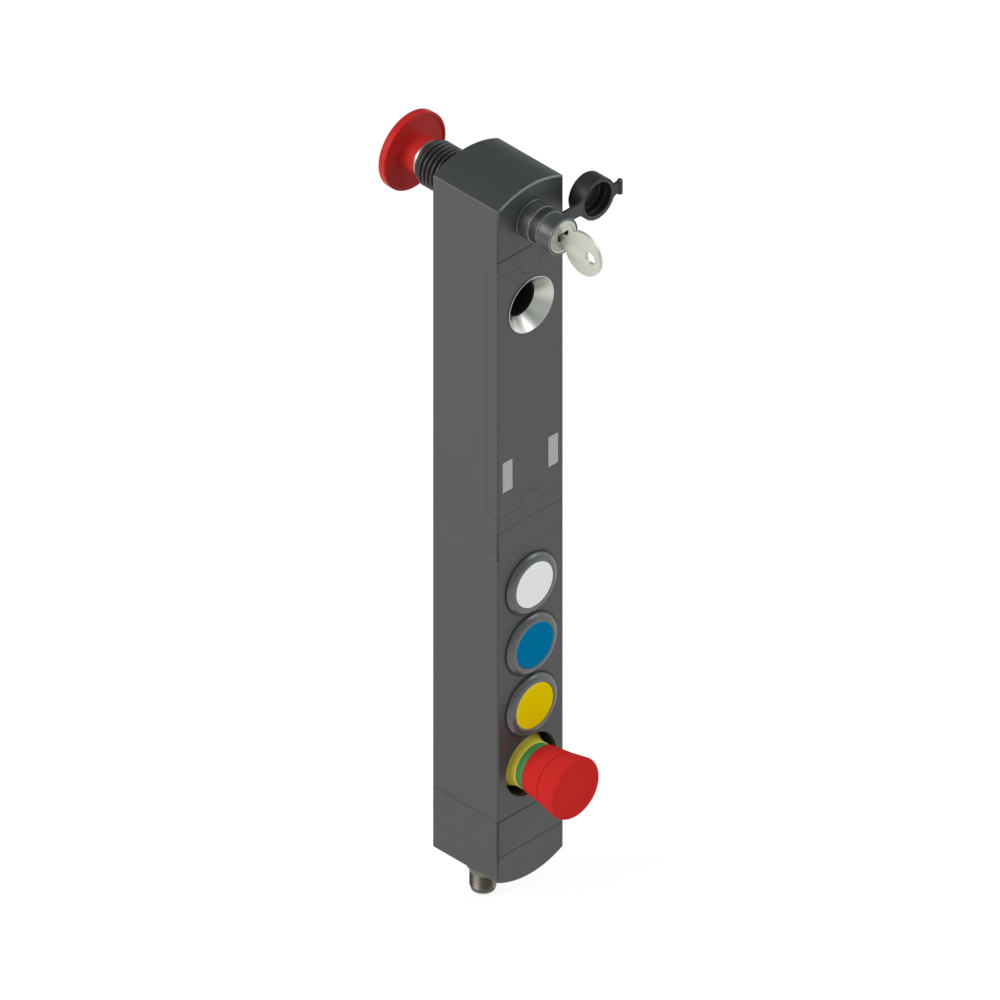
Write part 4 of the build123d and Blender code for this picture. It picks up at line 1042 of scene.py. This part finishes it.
class SWITCH_OT_key(SwitchOperator, bpy.types.Operator):
    """Makes the flat key with its round bow and cut blade"""

    bl_idname = "switch.key"
    bl_label = "Key"

    def execute(self, context):
        low, high = node_box("key")
        bow_radius, half, tip = 10.7, 3.55, high.y - 2.5
        bow = low.y + bow_radius
        start = math.degrees(math.asin(half / bow_radius))
        outline = arc((bow, 0), bow_radius, start, 360 - start, 72)
        notch = ((-1.6, 0.0), (-0.35, 1.3), (0.35, 1.3), (1.6, 0.0))
        cuts = []
        for n in range(4):
            cut = high.y - 4.5 - n * 3.4
            cuts = [(cut + along, deep - half) for along, deep in notch] + cuts
        outline += cuts + [(tip, -half), (high.y, 0), (tip, half)]
        hole = circle(bow - 4.7, 0, 2.9, 48)
        middle = Vector((0, 0, (low.z + high.z) / 2)) * MM
        upright = Matrix(((0, 0, 1, 0), (1, 0, 0, 0), (0, 1, 0, 0), (0, 0, 0, 1)))
        place = Matrix.Translation(middle) @ upright
        plate = flat_plate("key", [outline, hole], high.x - low.x, 0.14, place)
        piece("key_blank", plate, "key", "key_metal", ["key"])
        return {"FINISHED"}


def fillet_to_disc(centre, radius, half, side, small):
    """Centre and angles of a fillet between a bar of a half width and a disc, on one side of it."""
    reach = math.sqrt((radius + small) ** 2 - (half + small) ** 2)
    middle = (centre + side * reach, half + small)
    on_disc = math.degrees(math.atan2(half + small, side * reach))
    return middle, on_disc, on_disc - 180


class SWITCH_OT_cap(SwitchOperator, bpy.types.Operator):
    """Makes the rubber cap, its strap and its ring as one soft piece"""

    bl_idname = "switch.cap"
    bl_label = "Rubber cap"

    def execute(self, context):
        high = node_box("lock_cap")[1]
        thick, half, neck, radius, bore, ring = 1.6, 3.3, 2.9, 10.1, 8.2, 8.4
        lip, lip_half, strap_reach = 1.25, 3.8, 2.0
        root_round, cap_round, tab_round = 2.5, 5.0, 2.3
        front, back, bead = high.y - 9.1, high.y, high.x - lip
        a, ring_stop, a_start = fillet_to_disc(0.0, ring, half, 1, root_round)
        b, cap_start, b_stop = fillet_to_disc(CAP_X, radius, half, -1, cap_round)
        c, cap_stop, c_start = fillet_to_disc(CAP_X, radius, neck, 1, tab_round)
        upper = arc((0, 0), ring, 180, ring_stop, 30)
        upper += arc(a, root_round, a_start, -90, 8)[1:]
        steps = 16
        upper += [(a[0] + (b[0] - a[0]) * k / steps, half) for k in range(1, steps)]
        upper += arc(b, cap_round, -90, b_stop, 10)
        upper += arc((CAP_X, 0), radius, cap_start, cap_stop, 30)[1:]
        upper += arc(c, tab_round, c_start, -90, 8)[1:]
        flare = ((bead - 1.6, neck), (bead - 0.8, neck + 0.22), (bead - 0.1, lip_half - 0.1))
        upper += arc_through(*flare, 6)
        upper.append((bead, lip_half - 0.1))
        outline = upper + [(x, -z) for x, z in reversed(upper[1:])]
        middle = Vector((0, front + thick / 2, LOCK_Z)) * MM
        place = Matrix.Translation(middle) @ Matrix.Rotation(math.radians(90), 4, "X")
        holes = [circle(0, 0, 7.75, 60), circle(CAP_X, 0, radius - 0.9, 72)]
        plate = flat_plate("cap_plate", [outline, *holes], thick, 0.3, place)
        inner, step = bore - 0.15, back - 1.9
        cup = [(bore, front, 0.75), (radius, front, 0.45), (radius, back, 1.5), (0, back)]
        cup += [(0, step), (inner, step, 0.9), (inner, front + 3.6, 0.1), (bore, front + 3.4, 0.1)]
        shell = turned("cap_cup", rounded(cup, 6), "Y", (CAP_X, LOCK_Z))
        level = FRONT - COLLAR_LENGTH
        top, foot = level - 0.1, level - 4.2
        band = [(7.7, foot, 0.2), (ring, foot, 0.45), (ring, top, 0.45), (7.7, top, 0.2)]
        collar = turned("cap_ring", rounded(band), "Y", LOCK)
        roll = [(0, -lip_half), (lip, -lip_half, 0.6), (lip, lip_half, 0.6), (0, lip_half)]
        rolled = turned("cap_bead", rounded(roll), "Z", (bead, front + 0.45), 40)
        rolled.transform(Matrix.Translation((0, 0, LOCK_Z * MM)))
        mesh = joined("lock_cap", [plate, shell, collar, rolled])
        made = piece("lock_cap_and_strap", mesh, None, "cap_rubber", sharp=50)
        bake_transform(made)
        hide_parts("strap_ring", "lock_cap")
        return {"FINISHED"}


class SWITCH_OT_release(SwitchOperator, bpy.types.Operator):
    """Makes the escape release: disc on its hub, washer and folded rubber bellows"""

    bl_idname = "switch.release"
    bl_label = "Escape release"

    def execute(self, context):
        sizes = context.scene.switch_sizes
        low, high = node_box("release_button")
        disc = high.y - DISC_DEPTH
        rim, crown_radius, crown_rise = disc + 3.7, 18.2, 1.6
        outline = [(0, low.y + 3.6), (4.1, low.y + 3.6), (4.1, low.y), (8.6, low.y, 0.35)]
        outline += [(8.6, disc + 0.35, 0.4), (17.1, disc + 0.6, 0.25), (17.75, disc, 0.2)]
        outline += [(18.8, disc, 0.4), (18.8, rim, 0.8), (crown_radius, rim + 0.02)]
        outline = rounded(outline)
        for k in range(1, 12):
            turn = k * math.pi / 24
            outline.append((crown_radius * math.cos(turn), rim + crown_rise * math.sin(turn)))
        outline.append((0, rim + crown_rise))
        mesh = turned("release_button", outline, "Y", LOCK, 144)
        piece("release_disc", mesh, "release", "release_red", ["release_button"])
        low, high = node_box("release_washer")
        outline = [(4.1, low.y), (8.5, low.y, 0.25), (8.5, high.y, 0.25), (4.1, high.y)]
        washer = ("release_washer_turned", outline, LOCK, "release", "funnel_metal")
        lathed(*washer, "release_washer", look="washer_metal")
        low, high = node_box("release_bellows")
        rule = Rule(
            "bellows",
            {
                "Folds": sizes.bellows_folds,
                "Start": low.y * MM,
                "First Fold": 4.4 * MM,
                "End": high.y * MM,
                "Root": 8.15 * MM,
                "Crest": 10.4 * MM,
                "Last Crest": 9.2 * MM,
                "Cuff": 8.92 * MM,
            },
        )
        folds, start, first, end, root, crest, last_crest, cuff = rule.values()
        grid, turn, way = rule.surface(129, 211)
        level = start + way * (end - start)
        fold = ((level - first) / (end - first)).limited() * folds
        wave = (1.0 - (fold + 0.5).to("PINGPONG", 0.5) * 2.0).limited() * 1.12
        last = fold.to("GREATER_THAN", folds - 1.0)
        reach = crest - last * (crest - last_crest)
        ridge = root + wave.limited() * (reach - root)
        radius = ridge.to("MAXIMUM", cuff * level.to("LESS_THAN", first - 0.5 * MM))
        x, z = rule.circled(turn, radius, LOCK_Z)
        tube = rule.place(grid, x, level, z)
        mesh = shelled("release_bellows", rule.done(tube, "black_rubber"), 0.6)
        made = piece("release_bellows_folded", mesh, "housing", "black_rubber", ["release_bellows"], 60)
        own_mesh(made)
        return {"FINISHED"}


class SWITCH_OT_push_buttons(SwitchOperator, bpy.types.Operator):
    """Makes the three push buttons: domed bezel, a black ring round it that paints its shadow gap, and the
    coloured lens
    """

    bl_idname = "switch.push_buttons"
    bl_label = "Push buttons"

    def execute(self, context):
        rise, barrel, bore = FRONT - 2.6, FRONT + 8.2, 11.25
        bezel = arc_through((15.1, FRONT - 0.3), (13.875, FRONT - 2.03), (11.5, rise))
        bezel += [(11.32, rise + 0.06), (bore, rise + 0.3)]
        bezel += [(bore, barrel), (12.4, barrel), (12.4, FRONT), (15.1, FRONT)]
        # A thin black ring round each bezel paints the shadow gap at its edge
        ring = [(14.4, FRONT), (15.75, FRONT), (15.75, FRONT - 0.16, 0.08), (14.4, FRONT - 0.16)]
        bezels, shadow_rings = [], []
        for colour, z in BUTTONS.items():
            bezels.append(turned("bezel", bezel, "Y", (0, z)))
            shadow_rings.append(turned("shadow_ring", rounded(ring), "Y", (0, z)))
            node = f"{colour}_lens"
            front, back = (corner.y for corner in node_box(node))
            lens = [(0, front), (11.05, front, 0.3), (11.05, back)]
            lens += [(9.75, back), (9.75, front + 1.3), (0, front + 1.3)]
            lathed(f"{node}_disc", lens, (0, z), f"{colour}_button", f"lens_{colour}", node)
        piece("bezel_rings", joined("bezels", bezels), "housing", "bezel", ["button_bezels"])
        shadow_ring = joined("shadow_rings", shadow_rings)
        piece("bezel_shadow_rings", shadow_ring, "housing", "black_rubber", look="black_plastic")
        return {"FINISHED"}


class SWITCH_OT_stop_button(SwitchOperator, bpy.types.Operator):
    """Makes the stop button: sunk yellow base, green band and the red head with its groove"""

    bl_idname = "switch.stop_button"
    bl_label = "Stop button"

    def execute(self, context):
        rest, groove = FRONT - 5.8, FRONT - 16.7
        wide, face = FRONT - 25.6, FRONT - 28.0
        base_top, base_foot, band_foot = FRONT - 1.7, -26.8, FRONT + 2.3
        well_top, well_foot = -37.8, -25.3
        lip, slit = groove + 0.14, groove - 0.14
        base = [(9.5, base_top, 0.1), (11.2, base_top, 0.25), (11.2, FRONT + 2.0, 1.2)]
        base += [(13.4, FRONT + 7.0, 0.5), (13.4, base_foot), (9.5, base_foot)]
        band = [(8.3, rest), (10.9, rest, 0.15), (10.9, base_top)]
        band += [(9.45, base_top), (9.45, band_foot), (8.3, band_foot)]
        well = [(15.3, well_top), (16.55, well_top), (16.55, well_foot)]
        well += [(9.0, well_foot), (9.0, base_foot), (15.3, base_foot)]
        skirt = [(11.1, rest), (11.7, rest, 0.2), (13.1, lip, 0.14), (12.2, lip), (9.0, lip)]
        skirt += [(9.0, FRONT - 12.3), (4.5, FRONT - 12.3), (4.5, FRONT - 10.3), (11.1, FRONT - 10.3)]
        for name, corners, body, slot, node in (
            ("stop_base", base, "housing", "stop_yellow", "stop_collar"),
            ("stop_band", band, "housing", "stop_green", "stop_green_ring"),
            ("stop_well_cup", well, "housing", "black_plastic", "stop_well"),
            ("stop_head_skirt", skirt, "stop_head", "stop_red", "stop_skirt"),
        ):
            lathed(name, corners, STOP, body, slot, node)
        side = [(0, groove), (12.2, groove), (12.2, slit), (13.1, slit, 0.14), (14.8, wide)]
        edge = arc_through((14.8, wide), (14.05, (wide + face) / 2 - 0.6), (12.0, face))[1:]
        dish = [(9.9, face + 0.02), (9.7, face + 0.2), (8.3, face + 0.24), (8.0, face + 0.38)]
        dish += [(7.6 * (1 - k / 8), face + 0.4 + 0.1 * k / 8) for k in range(9)]
        mesh = turned("stop_cap", rounded(side) + edge + dish, "Y", STOP, 144)
        piece("stop_head_cap", mesh, "stop_head", "stop_red", ["stop_cap"])
        return {"FINISHED"}


class SWITCH_OT_springs(SwitchOperator, bpy.types.Operator):
    """Makes the springs of the buttons"""

    bl_idname = "switch.springs"
    bl_label = "Springs"

    def execute(self, context):
        for name in ("white", "blue", "yellow", "stop"):
            node, joint = f"{name}_spring", f"{name}_push"
            mesh = mesh_of(node, node_shape(node))
            made = piece(f"{node}_coil", mesh, "housing", "steel", [node], 40)
            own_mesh(made)
        return {"FINISHED"}


class SWITCH_OT_connector(SwitchOperator, bpy.types.Operator):
    """Makes the plug connector: boss, threaded shell, sealing ring and pins"""

    bl_idname = "switch.connector"
    bl_label = "Connector"

    def execute(self, context):
        sizes = context.scene.switch_sizes
        tip = node_box("plug_shell")[0].z
        boss, top = (corner.z for corner in node_box("plug_boss"))
        start, end, inner = boss - 3.3, boss - 10.8, top - 2.5
        body = [(6.05, boss), (7.45, boss, 0.5), (7.45, top), (6.05, top)]
        shell = [(4.95, tip, 0.12), (5.35, tip, 0.15), (5.35, end - 0.2), (5.35, start + 0.1)]
        shell += [(5.7, start + 0.1, 0.1), (5.7, boss), (6.0, boss), (6.0, inner), (4.95, inner)]
        near, far = end - 0.05, end - 0.75
        seal = [(5.2, near), (5.2, far), (5.55, far, 0.15), (5.75, end - 0.4, 0.2), (5.55, near, 0.15)]
        lathed("plug_boss_turned", body, PLUG, "housing", "bezel", "plug_boss", "Z", "housing")
        lathed("plug_shell_turned", shell, PLUG, "housing", "connector_metal", "plug_shell", "Z")
        rule = Rule(
            "thread",
            {
                "Pitch": sizes.thread_pitch,
                "Depth": sizes.thread_depth,
                "Crest": 6.0 * MM,
                "Length": (start - end) * MM,
            },
        )
        pitch, depth, crest, long = rule.values()
        grid, turn, way = rule.surface(97, 136)
        climb = way * long
        tooth = ((climb / pitch - turn).to("PINGPONG", 0.5) * 2.6 - 0.25).limited()
        run = (climb.to("MINIMUM", long - climb) / (0.6 * MM)).limited()
        radius = crest - depth * (1.0 - tooth * run)
        x, y = rule.circled(turn, radius, PLUG_Y)
        tube = rule.place(grid, x, y, climb + end * MM)
        mesh = shelled("plug_thread", rule.done(tube, "connector_metal"), 0.25)
        piece("plug_thread_ridges", mesh, "housing", "connector_metal", sharp=50)
        lathed("plug_seal_ring", seal, PLUG, "housing", "black_rubber", axis="Z")
        rule = Rule(
            "pins",
            {
                "Count": sizes.pin_count,
                "Circle": 2.9 * MM,
                "Radius": 0.5 * MM,
                "Length": 8.0 * MM,
            },
        )
        pins, circle_radius, thick, long = rule.values()
        at = {"Vertices": pins, "Radius": circle_radius}
        ring = rule.node("GeometryNodeMeshCircle", None, at)
        middle = rule.node("GeometryNodeMeshLine", None, {"Count": 1})
        spots = rule.node("GeometryNodeJoinGeometry")
        for source in (ring, middle):
            rule.tree.links.new(source.outputs[0], spots.inputs[0])
        form = {"Vertices": 20, "Radius Top": thick, "Radius Bottom": thick * 0.7, "Depth": long}
        pin = rule.node("GeometryNodeMeshCone", None, form)
        given = {"Points": spots.outputs[0], "Instance": pin.outputs[0]}
        placed = rule.node("GeometryNodeInstanceOnPoints", None, given)
        drop = {"Geometry": placed.outputs[0], "Translation": (0.0, PLUG_Y * MM, (tip + 2.0) * MM)}
        moved = rule.node("GeometryNodeTransform", None, drop)
        mesh = rule.done(moved.outputs[0], "brass_pin")
        piece("plug_pin_set", mesh, "housing", "brass_pin", ["plug_pins"])
        return {"FINISHED"}


class SWITCH_OT_finishes(SwitchOperator, bpy.types.Operator):
    """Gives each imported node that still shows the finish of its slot"""

    bl_idname = "switch.finishes"
    bl_label = "Finishes"

    def execute(self, context):
        for name, node in frame["nodes"].items():
            if node.hide_render:
                continue
            if not node.material_slots:
                raise RuntimeError(f"{name} has no material slot")
            for holder in node.material_slots:
                holder.material = finish(SLOT_OF[name])
        return {"FINISHED"}


class SWITCH_OT_stage(SwitchOperator, bpy.types.Operator):
    """Sets the pale floor, the soft lights and the camera"""

    bl_idname = "switch.stage"
    bl_label = "Stage"

    def floor(self, stage):
        shape = bmesh.new()
        bmesh.ops.create_grid(shape, x_segments=2, y_segments=2, size=FLOOR_HALF)
        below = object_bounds()[0].z - FLOOR_DROP
        bmesh.ops.translate(shape, verts=shape.verts, vec=(0, 0, below))
        mesh = mesh_of("floor", shape)
        paper = Finish(
            "floor_paper",
            roughness=0.9,
            specular_ior_level=0.1,
            emission_color=(1.0, 1.0, 1.0, 1.0),
            emission_strength=stage.floor_glow,
        )
        paper.feed(base_color=paper.toned(paper.noise(400.0, 2.0), stage.floor, 0.99, 1.01))
        mesh.materials.append(paper.material)
        linked("floor", mesh)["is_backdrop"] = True

    def world(self, stage):
        world = bpy.data.worlds.new("studio")
        world.use_nodes = True
        sky = world.node_tree.nodes["Background"]
        nodes = Nodes(world.node_tree)
        x, y, z = nodes.axes(nodes.node("ShaderNodeTexCoord").outputs["Generated"])
        behind = ((y - 0.22) * 4.0).limited()
        panel = ((x - 0.5) * 4.0).limited() * ((0.4 - y) * 4.0).limited() * ((z + 0.3) * 4.0).limited()
        ahead = ((y + 0.2) * -3.0).limited()
        around = nodes.mix(behind, nodes.mix(ahead, stage.even, stage.ahead), stage.dim)
        tone = nodes.mix(panel, around, stage.panel)
        world.node_tree.links.new(tone.socket, sky.inputs["Color"])
        sky.inputs["Strength"].default_value = stage.sky
        return world

    def lamps(self, stage):
        lamps = (
            ("key_lamp", (-1.05, 0.42, 0.66), 0.8, stage.key_light, (1.0, 0.985, 0.93)),
            ("right_lamp", (0.58, -0.47, 0.60), 0.5, stage.right_light, (0.88, 0.95, 1.0)),
        )
        for name, place, size, power, colour in lamps:
            lamp = bpy.data.lights.new(name, "AREA")
            lamp.shape = "SQUARE"
            lamp.size = size
            lamp.energy = power
            lamp.color = colour
            holder = linked(name, lamp)
            holder.location = Vector(place)
            aim = LAMP_TARGET - holder.location
            holder.rotation_euler = aim.to_track_quat("-Z", "Y").to_euler()

    def camera(self):
        camera = bpy.data.cameras.new("camera")
        camera.type = "ORTHO"
        camera.ortho_scale = CAMERA_SCALE
        camera.clip_end = CAMERA_REACH
        holder = linked("camera", camera)
        holder.location = CAMERA_TARGET + CAMERA_SIDE * CAMERA_DISTANCE
        holder.rotation_euler = (-CAMERA_SIDE).to_track_quat("-Z", "Y").to_euler()
        return holder

    def execute(self, context):
        scene = context.scene
        stage = scene.switch_stage
        self.floor(stage)
        scene.world = self.world(stage)
        self.lamps(stage)
        scene.camera = self.camera()
        scene.view_settings.view_transform = "Standard"
        return {"FINISHED"}


OPERATORS = (
    SWITCH_OT_housings,
    SWITCH_OT_screw_covers,
    SWITCH_OT_funnel,
    SWITCH_OT_windows,
    SWITCH_OT_lock,
    SWITCH_OT_key,
    SWITCH_OT_cap,
    SWITCH_OT_release,
    SWITCH_OT_push_buttons,
    SWITCH_OT_stop_button,
    SWITCH_OT_springs,
    SWITCH_OT_connector,
    SWITCH_OT_finishes,
    SWITCH_OT_stage,
)


class SWITCH_PT_panel(bpy.types.Panel):
    """Lists the sizes, the colours and the operators"""

    bl_idname = "SWITCH_PT_panel"
    bl_label = "Guard switch"
    bl_space_type = "VIEW_3D"
    bl_region_type = "UI"
    bl_category = "Guard switch"

    def draw(self, context):
        for group in (
            context.scene.switch_sizes,
            context.scene.switch_colours,
            context.scene.switch_stage,
        ):
            box = self.layout.box()
            for name in group.__annotations__:
                box.prop(group, name)
        column = self.layout.column(align=True)
        for operator in OPERATORS:
            column.operator(operator.bl_idname)


CLASSES = (SwitchSizes, SwitchColours, SwitchStage, *OPERATORS, SWITCH_PT_panel)


def register():
    for kind in CLASSES:
        bpy.utils.register_class(kind)
    bpy.types.Scene.switch_sizes = PointerProperty(type=SwitchSizes)
    bpy.types.Scene.switch_colours = PointerProperty(type=SwitchColours)
    bpy.types.Scene.switch_stage = PointerProperty(type=SwitchStage)


def unregister():
    del bpy.types.Scene.switch_stage
    del bpy.types.Scene.switch_colours
    del bpy.types.Scene.switch_sizes
    for kind in reversed(CLASSES):
        bpy.utils.unregister_class(kind)


def main():
    register()
    for operator in OPERATORS:
        name = operator.bl_idname.split(".")[1]
        getattr(bpy.ops.switch, name)()


if __name__ == "__main__":
    main()
